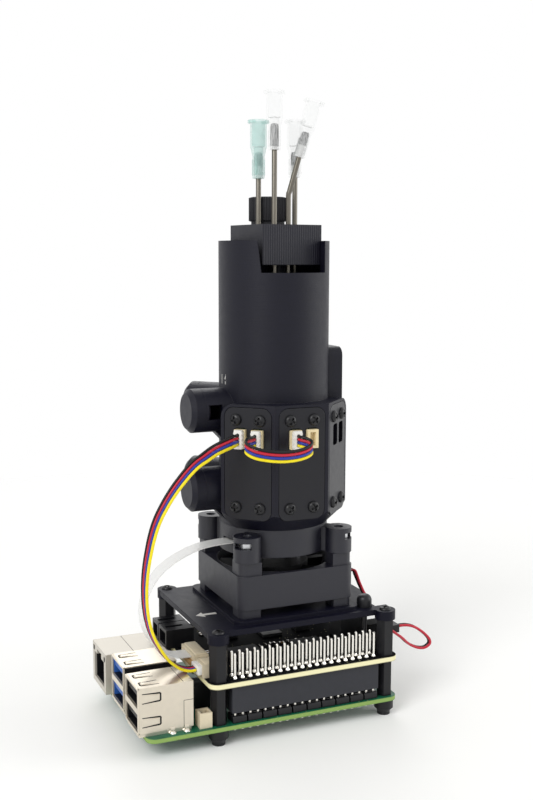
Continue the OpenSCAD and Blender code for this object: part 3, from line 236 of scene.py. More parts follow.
class Paint(Nodes):
    """Builds one procedural material."""

    def __init__(self, name):
        self.material = bpy.data.materials.new(name)
        super().__init__(self.material)

    def place(self):
        """The object's own coordinates, in millimetres."""
        here = self.node("ShaderNodeTexCoord", output="Object")
        return self.node("ShaderNodeVectorMath", {0: here, "Scale": 1 / MM}, operation="SCALE")

    def parts(self, vector):
        """The three numbers of a vector."""
        split = self.node("ShaderNodeSeparateXYZ", {0: vector}).socket.node
        return [Value(self, part) for part in split.outputs]

    def stretched(self, vector, scale):
        """A vector times another, number by number."""
        return self.node("ShaderNodeVectorMath", {0: vector, 1: scale}, operation="MULTIPLY")

    def noise(self, vector, scale, detail=2, roughness=0.5):
        """A soft random pattern from 0 to 1."""
        sockets = {"Vector": vector, "Scale": scale, "Detail": detail, "Roughness": roughness}
        return self.node("ShaderNodeTexNoise", sockets)

    def mix(self, mask, first, second):
        """A colour between first and second."""
        first, second = (c if isinstance(c, Value) else (*c[:3], 1) for c in (first, second))
        return self.node("ShaderNodeMix", {0: mask, 6: first, 7: second}, output=2, data_type="RGBA")

    def shaded(self, colour, spread, amount):
        """colour, made darker and lighter by amount as spread goes from 0 to 1."""
        high = [min(1, c) for c in scaled(colour, 1 + amount)]
        return self.mix(spread, scaled(colour, 1 - amount), high)

    def bump(self, height, distance, strength, normal=None):
        """A normal that follows height, over distance in millimetres."""
        sockets = {"Height": height, "Distance": distance * MM, "Strength": strength}
        return self.node("ShaderNodeBump", sockets | ({"Normal": normal} if normal else {}))

    def rounded(self, radius):
        """A normal that turns the sharp edges over a radius in millimetres."""
        return self.node("ShaderNodeBevel", {"Radius": radius * MM}, samples=4)

    def surface(self, **values):
        """The material with its main shader's sockets' values or links."""
        names = {"ior": "IOR", "specular_level": "Specular IOR Level"}
        sockets = {names.get(key, key.replace("_", " ").title()): value for key, value in values.items()}
        shader = self.node("ShaderNodeBsdfPrincipled", sockets)
        self.node("ShaderNodeOutputMaterial", {"Surface": shader})
        return self.material


def scaled(colour, factor):
    """A colour made darker or lighter."""
    return tuple(c * factor for c in colour)


def printed_plastic(paint, colour, gloss, ribs=0.0):
    """Printed plastic: fine layers up its height, satin, with faint mottling.

    ribs is the direction, in radians, across which the top is ribbed.
    """
    here = paint.place()
    x, y, z = paint.parts(here)
    layers = abs((z / (settings().sizes.layer_height / MM)).fraction() - 0.5)
    streaks = paint.noise(paint.stretched(here, (0.15, 0.15, 3.0)), 1.0, 3)
    mottle = paint.noise(here, 0.35, 3)
    height = layers * 0.7 + streaks * 0.5
    if ribs:
        across = abs(((x * math.cos(ribs) + y * math.sin(ribs)) / RIB_STEP).fraction() - 0.5)
        height = height + across * 2.5
    return paint.surface(
        base_color=paint.shaded(colour, (streaks + mottle) * 0.5, 0.35),
        roughness=mottle * 0.16 + 0.38,
        specular_level=gloss,
        normal=paint.bump(height, 0.07, 0.7, paint.rounded(0.3)),
    )


def moulded_plastic(paint, colour, roughness, grain=0.02, variation=0.12):
    """Moulded plastic: a fine grain, softly turned edges and faint clouding."""
    here = paint.place()
    fine = paint.noise(here, 9.0)
    cloud = paint.noise(here, 0.6, 3)
    return paint.surface(
        base_color=paint.shaded(colour, cloud, variation),
        roughness=cloud * 0.14 + (roughness - 0.07),
        specular_level=0.38,
        normal=paint.bump(fine, grain, 0.5, paint.rounded(0.18)),
    )


def plated_metal(paint, colour, roughness, brush=(1.0, 1.0, 1.0), metallic=1.0):
    """Plated metal: brushed along one way, with smudges that dull it."""
    here = paint.place()
    lines = paint.noise(paint.stretched(here, brush), 6.0, 3)
    smudge = paint.noise(here, 0.5, 3)
    return paint.surface(
        base_color=paint.shaded(colour, lines * 0.4 + smudge * 0.6, 0.1),
        metallic=metallic,
        roughness=smudge * 0.18 + (roughness - 0.09),
        normal=paint.bump(lines, 0.004, 0.5, paint.rounded(0.12)),
    )


def circuit_board(paint, mask, edge, board, gloss=0.3):
    """A circuit board: mask with traces and pads on its faces, and board's layered cut edge."""
    edge = user_colour(edge)
    low, high = (corner.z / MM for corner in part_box(board))
    here = paint.place()
    up = abs(paint.parts(paint.node("ShaderNodeTexCoord", output="Normal"))[2]) > 0.5
    cells = paint.stretched(here, (1.0, 1.0, 0.0))
    bricks = paint.node(
        "ShaderNodeTexBrick",
        {
            "Vector": cells, "Scale": 1.0, "Mortar Size": 0.09, "Brick Width": TRACE_LONG,
            "Row Height": TRACE_STEP, "Color1": (0, 0, 0, 1), "Color2": (0.25, 0.25, 0.25, 1),
            "Mortar": (1, 1, 1, 1),
        },
        output="Color",
    )
    patch = paint.noise(cells, 0.12, 1).soft_step(0.42, 0.55)
    vias = paint.node(
        "ShaderNodeTexVoronoi", {"Vector": cells, "Scale": 0.55, "Randomness": 1.0}, output="Distance"
    ).soft_step(0.16, 0.12)
    copper = paint.node("ShaderNodeRGBToBW", {0: bricks}) * patch
    face = paint.mix(copper * 0.6, mask, [min(1, c + 0.012) for c in scaled(mask, 1.9)])
    face = paint.mix(vias * 0.45, face, tint("b9b48c"))
    layers = abs((paint.parts(here)[2] - low) / (high - low) - 0.5) * 2
    fibres = paint.noise(paint.stretched(here, (6.0, 6.0, 14.0)), 1.0)
    rim = [0.55 * e + 0.45 * m for e, m in zip(edge, mask)]
    cut = paint.mix(layers.soft_step(0.62, 0.92), edge, rim)
    cut = paint.mix(fibres * 0.35, cut, scaled(edge, 0.72))
    return paint.surface(
        base_color=paint.mix(up, cut, face),
        roughness=0.66 - up * gloss,
        specular_level=gloss,
        normal=paint.bump(copper + vias, 0.02, 0.4),
    )


def wire_sleeve(paint, colour):
    """Wire insulation: smooth, a little wavy along its length."""
    here = paint.place()
    wave = paint.noise(here, 0.7)
    return paint.surface(
        base_color=paint.shaded(colour, wave, 0.14),
        roughness=paint.noise(here, 6.0, 1) * 0.12 + 0.38,
        specular_level=0.3,
        coat_weight=0.06,
        coat_roughness=0.3,
        normal=paint.bump(wave, 0.03, 0.4),
    )


def clear_plastic(paint, colour, alpha, roughness=0.12, milk=0.0):
    """Thin clear moulding: see-through, milky where it is thick."""
    cloud = paint.noise(paint.place(), 0.8)
    return paint.surface(
        base_color=paint.shaded(colour, cloud, 0.05),
        roughness=cloud * 0.08 + roughness,
        alpha=cloud * 0.08 + (alpha - 0.04),
        ior=1.3,
        subsurface_weight=milk,
        subsurface_radius=(0.002, 0.002, 0.002),
        normal=paint.bump(cloud, 0.02, 0.3),
    )


def glass_wall(paint, colour):
    """Thin laboratory glass."""
    film = paint.noise(paint.place(), 0.25, 3)
    return paint.surface(
        base_color=paint.shaded(colour, film, 0.03),
        roughness=film * 0.05 + 0.01,
        transmission_weight=0.95,
        ior=1.47,
        normal=paint.bump(film, 0.01, 0.2),
    )


def rubber(paint, colour):
    """Silicone rubber, dull and dusty."""
    dust = paint.noise(paint.place(), 2.2, 4)
    return paint.surface(
        base_color=paint.shaded(colour, dust, 0.1),
        roughness=dust * 0.2 + 0.6,
        normal=paint.bump(dust, 0.05, 0.5),
    )


def striped(paint, colour):
    """Glue streaked with darker lines down its length."""
    lines = paint.noise(paint.stretched(paint.place(), (3.6, 3.6, 0.25)), 1.0)
    return paint.surface(
        base_color=paint.mix(lines.soft_step(0.42, 0.56), scaled(colour, 0.2), colour),
        roughness=lines * 0.2 + 0.4,
        normal=paint.bump(lines, 0.02, 0.3),
    )


def windings(paint, colour):
    """Fine enamelled wire wound in layers round the stirrer's motor, with painted shade between the turns.
    """
    here = paint.place()
    turns = abs((paint.parts(here)[2] / WINDING_STEP).fraction() - 0.5)
    # The colour darkens towards the edge of each turn: painted shade in the creases between turns
    return paint.surface(
        base_color=paint.mix(turns * 1.4, colour, scaled(colour, 0.45)),
        metallic=0.7,
        roughness=paint.noise(here, 1.2) * 0.2 + 0.3,
        normal=paint.bump(turns, 0.06, 0.8),
    )


def knurled(paint, colour):
    """Dull black knurled plastic with crumbs of wear on its ridges."""
    crumbs = paint.noise(paint.place(), 2.4, 4, 0.7)
    return paint.surface(
        base_color=paint.shaded(colour, crumbs, 0.6),
        roughness=crumbs * 0.3 + 0.5,
        specular_level=0.35,
        normal=paint.bump(crumbs, 0.12, 0.7),
    )


def flat_cable(paint, colour, step):
    """White flat cable: its conductors show as faint lines along it, step millimetres apart."""
    here = paint.place()
    lines = abs((paint.parts(here)[1] / step).fraction() - 0.5) * 2
    cloud = paint.noise(here, 0.5)
    return paint.surface(
        base_color=paint.mix(lines.soft_step(0.5, 0.8) * 0.5, colour, scaled(colour, 0.9)),
        roughness=cloud * 0.1 + 0.32,
        alpha=cloud * 0.06 + 0.66,
        normal=paint.bump(lines, 0.03, 0.4),
    )


def ink(paint, colour):
    """Printed ink, worn a little."""
    wear = paint.noise(paint.place(), 3.5, 3)
    return paint.surface(
        base_color=paint.shaded(colour, wear, 0.2),
        roughness=0.55,
        normal=paint.bump(wear, 0.01, 0.3),
    )


# The finishes: the way each is made, its colour (a user's colour or a hex code) and its numbers

BLOCK_TURN = math.radians(5.8)
LOOKS = {
    "Computer board": (circuit_board, "mask", "mask_edge", "computer_board"),
    "Stack board": (circuit_board, "stack_mask", "stack_edge", "stack_board", 0.02),
    "Sensor boards": (circuit_board, "142420", "3a5a48", "stack_board"),
    "Printed black": (printed_plastic, "printed", 0.27),
    "Printed base": (printed_plastic, "printed", 0.6),
    "Printed plate": (printed_plastic, "printed", 0.16),
    "Printed black ribbed": (printed_plastic, "printed", 0.4, BLOCK_TURN),
    "Panel satin": (moulded_plastic, "panel", 0.36, 0.012),
    "Black moulding": (moulded_plastic, "moulded", 0.4),
    "Socket header": (moulded_plastic, "2c2d33", 0.6, 0.02, 0.2),
    "Motor header": (moulded_plastic, "060608", 0.95),
    "Rotor": (moulded_plastic, "08080a", 0.6),
    "Dark lamp": (moulded_plastic, "0a0a0c", 0.5),
    # Dark seams, and painted shade in the jacks' tab slots and the plugs' wire mouths
    "Dark recess": (moulded_plastic, "0a0a0b", 0.7),
    "Chip packages": (moulded_plastic, "1c1d1f", 0.55, 0.03, 0.25),
    "Capacitor bodies": (moulded_plastic, "8a6b4a", 0.5, 0.01, 0.2),
    "Black screws": (moulded_plastic, "17171a", 0.34, 0.01),
    "Cream plastic": (moulded_plastic, "cream", 0.45),
    "Pale cream": (moulded_plastic, "dfd2b6", 0.5),
    "White plastic": (moulded_plastic, "white", 0.4, 0.01, 0.04),
    "Tan plastic": (moulded_plastic, "b08a58", 0.45),
    "Blue tongue": (moulded_plastic, "tongue_blue", 0.45),
    "Stir bar": (moulded_plastic, "efefea", 0.35, 0.01, 0.04),
    "Knurled plastic": (knurled, "232327"),
    "Jack shell": (plated_metal, "shell", 0.38, (0.3, 6.0, 6.0), 0.85),
    "Network shell": (plated_metal, "cbc6bc", 0.5, (0.3, 6.0, 6.0), 0.6),
    "Tinned pin": (plated_metal, "pin", 0.2, (4.0, 4.0, 0.5)),
    "Gilt contact": (plated_metal, "d8b25a", 0.25, (2.0, 2.0, 2.0)),
    "Dull gilt": (plated_metal, "8f7a48", 0.45),
    "Zinc steel": (plated_metal, "c9cacd", 0.3, (2.0, 2.0, 0.4)),
    "Needle steel": (plated_metal, "needle", 0.34, (6.0, 6.0, 0.3)),
    "Bronze": (plated_metal, "b08a4e", 0.35, (1, 1, 3)),
    "Nickel": (plated_metal, "c4c4c8", 0.2),
    "Windings": (windings, "b4622e"),
    "Glass": (glass_wall, "eef4f3"),
    "Septum": (rubber, "dcd8cc"),
    "Clear hub": (clear_plastic, "clear_hub", 0.1, 0.2),
    "Green hub": (clear_plastic, "green_hub", 0.3, 0.2),
    "Milky foot": (clear_plastic, "fafbfa", 0.5, 0.3, 0.2),
    "Needle glue": (striped, "b4b4b5"),
    "Flat cable": (flat_cable, "ribbon", 1.0),
    "Printed marks": (ink, "mark"),
}
WIRE_COLOURS = ("yellow", "blue", "red", "black")
LOOKS.update({f"Wire {colour}": (wire_sleeve, f"wire_{colour}") for colour in WIRE_COLOURS})
# The materials made so far, by name
made_looks = {}


def user_colour(code):
    """The user's colour of that name, or a hex colour."""
    return getattr(settings().colours, code, None) or tint(code)


def look(name):
    """The material of one finish, made once."""
    if name not in made_looks:
        maker, code, *numbers = LOOKS[name]
        made_looks[name] = maker(Paint(name), user_colour(code), *numbers)
    return made_looks[name]


# Shapes, each made in a mesh of its own by bmesh operators


def moved(*values):
    """A move by millimetres."""
    return Matrix.Translation(mm(*values))


def turned_about(axis, degrees):
    """A turn about an axis."""
    return Matrix.Rotation(math.radians(degrees), 4, axis)


def on_side(turn, along, away, height):
    """From a shape drawn up Z to one that points outward on the side at angle turn."""
    return turned_about("Z", turn) @ moved(along, -away, height) @ turned_about("X", 90)


def soften(part, edges, width, segments=2):
    """Bevels the given edges by width, in metres."""
    if width and edges:
        bmesh.ops.bevel(
            part, geom=edges, offset=width, offset_type="OFFSET", affect="EDGES",
            segments=segments, profile=0.5, material=-1, clamp_overlap=True,
        )
    return part


def block(low, high, edge=0.0, segments=2):
    """A box between two corners given in millimetres, its edges bevelled by edge."""
    part = bmesh.new()
    low, high = mm(*low), mm(*high)
    bmesh.ops.create_cube(part, size=1)
    bmesh.ops.scale(part, vec=high - low, verts=part.verts)
    bmesh.ops.translate(part, vec=(low + high) / 2, verts=part.verts)
    return soften(part, part.edges[:], edge * MM, segments)


def rod(radius, low, high, top_radius=None, sides=24, edge=0.0):
    """A round bar up Z, in millimetres; top_radius makes it a cone."""
    part = bmesh.new()
    top = radius if top_radius is None else top_radius
    bmesh.ops.create_cone(
        part, cap_ends=True, segments=sides, radius1=radius * MM, radius2=top * MM, depth=(high - low) * MM
    )
    bmesh.ops.translate(part, vec=(0, 0, (low + high) / 2 * MM), verts=part.verts)
    rims = [e for e in part.edges if abs(e.verts[0].co.z - e.verts[1].co.z) < MERGE]
    return soften(part, rims, edge * MM)


def turned(profile, steps=32, closed=False):
    """A shape turned about Z from radius and height pairs in millimetres."""
    part = bmesh.new()
    verts = [part.verts.new(mm(r, 0, z)) for r, z in profile]
    edges = [part.edges.new(pair) for pair in zip(verts, verts[1:])]
    if closed:
        edges.append(part.edges.new((verts[-1], verts[0])))
    bmesh.ops.spin(
        part, geom=verts + edges, cent=(0, 0, 0), axis=(0, 0, 1), dvec=(0, 0, 0),
        angle=math.tau, steps=steps, use_merge=True, use_duplicate=False,
    )
    bmesh.ops.remove_doubles(part, verts=part.verts, dist=MERGE)
    bmesh.ops.recalc_face_normals(part, faces=part.faces)
    return part


def raised(part, face):
    """Extrudes one face of part in place: the new face and its corners."""
    new = bmesh.ops.extrude_face_region(part, geom=[face])["geom"]
    corners = [g for g in new if isinstance(g, bmesh.types.BMVert)]
    return next(g for g in new if isinstance(g, bmesh.types.BMFace)), corners


def prism(outline, low, high, edge=0.0, segments=2):
    """A flat outline in millimetres, raised from low to high."""
    part = bmesh.new()
    face = part.faces.new([part.verts.new(mm(x, y, low)) for x, y in outline])
    corners = raised(part, face)[1]
    bmesh.ops.translate(part, vec=(0, 0, (high - low) * MM), verts=corners)
    bmesh.ops.recalc_face_normals(part, faces=part.faces)
    return soften(part, part.edges[:], edge * MM, segments)


def cup(low, high, wall, depth, edge=0.0):
    """A box with an opening sunk from its top, with walls of wall = (x, y)."""
    part = block(low, high)
    top = max(part.faces, key=lambda face: face.calc_center_median().z)
    mouth, rim = raised(part, top)
    middle = sum((v.co for v in rim), Vector()) / len(rim)
    shrink = [1 - 2 * wall[i] / (high[i] - low[i]) for i in (0, 1)]
    bmesh.ops.scale(part, vec=(*shrink, 1), verts=rim, space=Matrix.Translation(-middle))
    corners = raised(part, mouth)[1]
    bmesh.ops.translate(part, vec=(0, 0, -depth * MM), verts=corners)
    bmesh.ops.delete(part, geom=[f for f in (top, mouth) if f.is_valid], context="FACES_ONLY")
    bmesh.ops.recalc_face_normals(part, faces=part.faces)
    return soften(part, [e for e in part.edges if e.calc_face_angle(0) > 0.5], edge * MM, 1)


def placed(name, data):
    """A new object in the scene."""
    thing = bpy.data.objects.new(name, data)
    bpy.context.scene.collection.objects.link(thing)
    return thing


def merged(part, *others):
    """One mesh from several."""
    for other in others:
        scratch = bpy.data.meshes.new("scratch")
        other.to_mesh(scratch)
        other.free()
        part.from_mesh(scratch)
        bpy.data.meshes.remove(scratch)
    return part


def carved(part, cutter):
    """part with cutter's shape taken out of it."""
    objects = []
    for shape in (part, cutter):
        mesh = bpy.data.meshes.new("scratch")
        shape.to_mesh(mesh)
        shape.free()
        objects.append(placed("scratch", mesh))
    cut = objects[0].modifiers.new("cut", "BOOLEAN")
    cut.operation = "DIFFERENCE"
    cut.solver = "EXACT"
    cut.object = objects[1]
    result = bmesh.new()
    result.from_object(objects[0], bpy.context.evaluated_depsgraph_get())
    for thing in objects:
        mesh = thing.data
        bpy.data.objects.remove(thing)
        bpy.data.meshes.remove(mesh)
    return result


class Piece:
    """A new object that shapes are added to, one material to a group of them."""

    def __init__(self, name, body, slot, *finishes):
        self.name = name
        self.body = body
        self.slot = slot
        self.materials = [look(finish) for finish in finishes]
        self.shape = bmesh.new()

    def add(self, part, place=None, material=0):
        """Puts a finished shape in its place in the piece."""
        if place:
            bmesh.ops.transform(part, matrix=place, verts=part.verts)
        for face in part.faces:
            face.material_index = material
            face.smooth = True
        merged(self.shape, part)

    def box(self, low, high, material=0, edge=0.0, segments=2, place=None):
        """Puts in a box between two corners, its edges bevelled by edge."""
        self.add(block(low, high, edge, segments), place, material)

    def boxes(self, rows, place=None):
        """Puts in a box for each row of two corners, a material's number and an edge."""
        for low, high, material, edge in rows:
            self.box(low, high, material, edge, place=place)

    def done(self, *replaced, sharp=35.0):
        """Makes the object, on its body, in place of the CAD nodes that it replaces."""
        mesh = bpy.data.meshes.new(self.name)
        self.shape.to_mesh(mesh)
        self.shape.free()
        for material in self.materials:
            mesh.materials.append(material)
        mesh.set_sharp_from_angle(angle=math.radians(sharp))
        made = placed(self.name, mesh)
        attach(made, self.body)
        if replaced:
            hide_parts(*replaced)
        return made


def lofted(rings):
    """A closed shape through rings of points, all of one count."""
    part = bmesh.new()
    loops = []
    for ring in rings:
        verts = [part.verts.new(point) for point in ring]
        loops.append([part.edges.new(pair) for pair in zip(verts, verts[1:] + verts[:1])])
        if len(loops) > 1:
            bmesh.ops.bridge_loops(part, edges=loops[-2] + loops[-1])
    bmesh.ops.holes_fill(part, edges=loops[0] + loops[-1], sides=len(loops[0]))
    bmesh.ops.recalc_face_normals(part, faces=part.faces)
    return part


# Cords. The routes are the model's own, in millimetres

BUS_ROUTE = [
    (-19.02, -15.63, 92.6), (-20.5, -17.1, 92.6), (-23.2, -18.8, 92.2), (-28, -20.5, 90.9),
    (-32.3, -21.8, 88.9), (-36.4, -22.6, 86.4), (-42.7, -23.6, 79.9), (-47.9, -24, 71.5),
    (-50.5, -24, 62.5), (-51.7, -23.8, 53.8), (-51.3, -23, 44.7), (-49.1, -21.6, 36.6),
    (-44.9, -19.7, 29.2), (-42.3, -18.9, 26.1), (-39.4, -18.4, 23.8), (-36.6, -18.3, 22.7),
    (-34.5, -18.3, 22.7),
]
BUS_TWIST = 90
JUMPER_ROUTE = [
    (-14.99, -19.66, 92.6), (-16.5, -21.17, 92.6), (-19.4, -24.5, 92.9), (-21.1, -27.6, 92.3),
    (-20.6, -29.8, 91.6), (-18.8, -31.2, 90.8), (-15, -32, 90), (-10.4, -32, 89.5),
    (-5.9, -31.6, 89.6), (-2.4, -30.8, 90.2), (-0.5, -29.6, 91), (-0.4, -28, 91.9),
    (-1.6, -26.8, 92.4), (-2.4, -25.8, 92.6), (-2.4, -24.5, 92.6),
]
LEAD_ROUTE = [
    (20, -1, 41.6), (22.3, -1.2, 41.7), (25, -2, 42.2), (26.9, -3.8, 43), (27.4, -6, 42.9),
    (27.2, -8, 41.9), (27.1, -10, 40.2), (27.4, -12, 38), (28.2, -13.6, 35.6), (29.2, -15.4, 32.6),
    (30.6, -17, 30), (31.9, -18, 28), (33.6, -18.7, 26.4), (36.2, -18.8, 24.3), (39, -18, 22.2),
    (41.6, -16.2, 20), (44.4, -14.4, 17.8), (47.6, -14, 16.1), (50.6, -14, 15.6), (52.7, -14, 16.9),
    (52, -14, 19), (48.9, -14, 21.9), (45.6, -14, 23.9), (42.4, -14, 24.7), (39.2, -14, 24.7),
]
RIBBON_ROUTE = [
    (-15.6, -4, 57.8), (-20, -4, 57.8), (-27.4, -4, 57.1), (-34.1, -4.3, 54.9), (-40.4, -5, 51.6),
    (-45, -6, 46.8), (-47.5, -7.2, 41.3), (-47.8, -8.2, 35.6), (-46, -8.8, 30.4),
    (-42.6, -9, 26.6), (-38.4, -9, 24.5), (-34.6, -9, 24.2), (-32.6, -9, 24.2),
]
RIBBON_THICK, RIBBON_WIDE = 0.3, 6.6
POINTS_PER_STEP = 2
TWIST_EASE = 2.5


def smooth_line(route):
    """Points on the smooth curve through the route, with the curve's direction at each."""
    stops = [mm(*p) for p in route]
    last = len(stops) - 1
    line = []
    for i in range(last):
        a, b, c, d = (stops[max(0, min(last, i + k))] for k in (-1, 0, 1, 2))
        for k in range(POINTS_PER_STEP):
            t = k / POINTS_PER_STEP
            line.append(b + t / 2 * (c - a + t * (2 * a - 5 * b + 4 * c - d + t * (3 * (b - c) + d - a))))
    line.append(stops[last])
    ends = zip([line[0]] + line, line[1:] + [line[-1]])
    ways = [(after - before).normalized() for before, after in ends]
    ways[0] = (stops[1] - stops[0]).normalized()
    ways[-1] = (stops[last] - stops[last - 1]).normalized()
    return line, ways


def beside(route, across, offset, twist=0.0):
    """A line beside the route: offset turns by twist degrees, fastest at the start."""
    line, ways = smooth_line(route)
    result = []
    for k, (point, way) in enumerate(zip(line, ways)):
        share = k / (len(line) - 1)
        turn = math.radians(twist * (1 - (1 - share) ** TWIST_EASE))
        first = Vector(across).cross(way).normalized()
        second = way.cross(first)
        u = offset[0] * math.cos(turn) - offset[1] * math.sin(turn)
        v = offset[0] * math.sin(turn) + offset[1] * math.cos(turn)
        result.append(point + u * first + v * second)
    return result


def lay_wire(name, colour, line, radius, node):
    """A round wire along a line of points, as one cord in place of a CAD cord."""
    curve = bpy.data.curves.new(name, "CURVE")
    curve.dimensions = "3D"
    curve.resolution_u = 4
    curve.bevel_depth = radius
    curve.bevel_resolution = 3
    curve.use_fill_caps = True
    spline = curve.splines.new("BEZIER")
    spline.bezier_points.add(len(line) - 1)
    for point, place in zip(spline.bezier_points, line):
        point.co = place
        point.handle_left_type = point.handle_right_type = "AUTO"
    curve.materials.append(look(f"Wire {colour}"))
    wire = placed(f"{name}_{colour}", curve)
    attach(wire, "base")
    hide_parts(node)


class BIOREACTOR_OT_wires(Operator):
    """Four-wire cables: one down to the stack board, one between two panels"""

    bl_idname = "bioreactor.wires"
    bl_label = "Signal wires"

    def execute(self, context):
        sizes = settings().sizes
        for name, route, across, along, twist, slot in (
            ("bus", BUS_ROUTE, (0, 1, 0), (1, 0), BUS_TWIST, "wire_yellow"),
            ("jumper", JUMPER_ROUTE, (0, 0, 1), (0, 1), 0, "wire_red"),
        ):
            for i, colour in enumerate(WIRE_COLOURS):
                offset = [(i - 1.5) * sizes.wire_step * a for a in along]
                line = beside(route, across, offset, twist)
                lay_wire(f"{name}_wire", colour, line, sizes.wire_radius, f"{name}_cable")
        return {"FINISHED"}


class BIOREACTOR_OT_leads(Operator):
    """The stirrer motor's two leads, round to their plug"""

    bl_idname = "bioreactor.leads"
    bl_label = "Motor leads"

    def execute(self, context):
        sizes = settings().sizes
        for i, colour in enumerate(("red", "black")):
            line = beside(LEAD_ROUTE, (0, 1, 0), (0, (i - 0.5) * sizes.lead_step))
            lay_wire("motor_lead", colour, line, sizes.lead_radius, "motor_leads")
        return {"FINISHED"}


class BIOREACTOR_OT_flat_cable(Operator):
    """The heater's flat cable, down to its socket"""

    bl_idname = "bioreactor.flat_cable"
    bl_label = "Heater cable"

    def execute(self, context):
        line, ways = smooth_line(RIBBON_ROUTE)
        thick, wide = RIBBON_THICK / 2 * MM, RIBBON_WIDE / 2 * MM
        corners = [(-thick, -wide), (thick, -wide), (thick, wide), (-thick, wide)]
        rings = []
        for point, way in zip(line, ways):
            first = Vector((0, 1, 0)).cross(way).normalized()
            second = way.cross(first)
            rings.append([point + a * first + b * second for a, b in corners])
        cable = Piece("heater_cable", "base", "ribbon_white", "Flat cable")
        cable.add(lofted(rings))
        made = cable.done("heater_ribbon")
        return {"FINISHED"}


# The stage, in metres: each lamp's place, its size and its share of the lamp power

LAMPS = {
    "key lamp": ((-0.75, -0.5, 0.75), 0.5, 1.0),
    "fill lamp": ((0.9, -0.3, 0.35), 0.7, 0.55),
    "rim lamp": ((0.25, 0.8, 0.7), 0.5, 0.35),
}
LAMP_AIM = Vector((0, 0, 0.08))
FLOOR_HALF = 4
FLOOR_FADE = (0.52, 0.15)

# Places on the model, in millimetres

HOLES = [(x, y) for x in (-29, 29) for y in (-24.5, 24.5)]
PIN_STEP = 2.54
PIN_HALF = 0.32
PINS = [((i - 9.5) * PIN_STEP, -24.5 + j * PIN_STEP) for i in range(20) for j in (-0.5, 0.5)]
BOARD_LOW, BOARD_TOP = 5.2, 6.6
STACK_TOP = 20.2
PLATE_TOP = 35.2
PANEL_FACE = 22.0
PANEL_MIDDLE = 84.7
PANEL_TURNS = (-45, 0, 45)
SENSOR_HEIGHT = 92.6
SOCKET_BACK = 20.8
SOCKET_PLACES = [(-45, -2.4), (-45, 3.3), (0, -2.4), (0, 3.3)]
BARE_SOCKET = (0, 3.3)
BUS_PLUG = (-31.4, -18.3, 22.7)
BLACK_JACK = (-55.0, -19.0)
BLUE_JACK = (-54.2, -1.0)
NETWORK_JACK = (-55.0, 18.0)
EDGE_SOCKETS = ((21.3, 3.2), (-6.7, 2.2), (6.7, 2.2))
PLUG_AXIS = (-0.2, 4.4)
PLUG_HEAD = (159.75, 167.55)
# Each needle's place, the heights of its tip and of its hub, and the glue's start in its hub
NEEDLES = [
    ((-5.7, -0.7), 112.0, 172.9, 4.0), ((-2.8, -6.5), 95.0, 181.4, 1.2),
    ((2.5, -5.5), 100.0, 179.4, 4.0), ((6.9, -0.85), 125.0, 173.6, 4.0),
]
NEEDLE_RADIUS = 0.825
BENT_NEEDLE = 2
BEND_HEIGHT = 167.7
BEND_LEAN = 15.5
BEND_TURN = -23.6
# The number on the holder: its size, its turn round the holder and its height
NUMBER_SIZE, NUMBER_TURN, NUMBER_HEIGHT = 4.1, -88, 109.7
HOLDER_RADIUS = 17.8
INK_DEPTH, INK_SPREAD = 0.05, 0.12


class BIOREACTOR_OT_stage(Operator):
    """The camera, the pale floor, the lamps and the light from all round"""

    bl_idname = "bioreactor.stage"
    bl_label = "Stage"

    def execute(self, context):
        stage = settings().stage
        scene = context.scene
        lens = bpy.data.cameras.new("camera")
        lens.sensor_width = 36
        lens.lens = stage.lens
        lens.clip_start, lens.clip_end = 0.01, 20
        camera = placed("camera", lens)
        camera.matrix_world = (
            Matrix.Translation(stage.camera_place)
            @ Matrix.Rotation(stage.camera_turn, 4, "Z")
            @ Matrix.Rotation(math.pi / 2 - stage.camera_rise, 4, "X")
            @ Matrix.Rotation(stage.camera_roll, 4, "Z")
        )
        scene.camera = camera
        scene.view_settings.view_transform = "Standard"
        self.floor(stage)
        self.world(scene, stage)
        for name, (place, size, share) in LAMPS.items():
            light = bpy.data.lights.new(name, "AREA")
            light.size = size
            light.energy = stage.lamp_power * share
            lamp = placed(name, light)
            lamp.location = place
            lamp.rotation_euler = (LAMP_AIM - lamp.location).to_track_quat("-Z", "Y").to_euler()
        return {"FINISHED"}

    def floor(self, stage):
        """A pale floor that fades away round the model."""
        ground = bmesh.new()
        bmesh.ops.create_grid(ground, x_segments=1, y_segments=1, size=FLOOR_HALF)
        mesh = bpy.data.meshes.new("floor")
        ground.to_mesh(mesh)
        ground.free()
        paint = Paint("Floor")
        here = paint.place()
        away = paint.node("ShaderNodeVectorMath", {0: here}, output="Value", operation="LENGTH")
        material = paint.surface(
            base_color=paint.shaded(stage.floor, paint.noise(here, 0.02), 0.01),
            roughness=0.9,
            specular_level=0.1,
            alpha=away.soft_step(*(reach / MM for reach in FLOOR_FADE)),
        )
        mesh.materials.append(material)
        placed("floor", mesh)

    def world(self, scene, stage):
        """White where the camera or a reflection sees it, and the stage's own light elsewhere."""
        world = bpy.data.worlds.new("studio")
        nodes = Nodes(world)
        rays = nodes.node("ShaderNodeLightPath").socket.node.outputs
        kinds = ("Camera", "Glossy", "Transmission")
        camera, glossy, through = (Value(nodes, rays[f"Is {kind} Ray"]) for kind in kinds)
        seen = nodes.maths("MAXIMUM", camera, nodes.maths("MAXIMUM", glossy, through))
        sockets = {"Value": seen, "To Min": stage.world_light, "To Max": 1.0}
        strength = nodes.node("ShaderNodeMapRange", sockets)
        sky = nodes.node("ShaderNodeBackground", {"Color": (1, 1, 1, 1), "Strength": strength})
        nodes.node("ShaderNodeOutputWorld", {"Surface": sky})
        scene.world = world


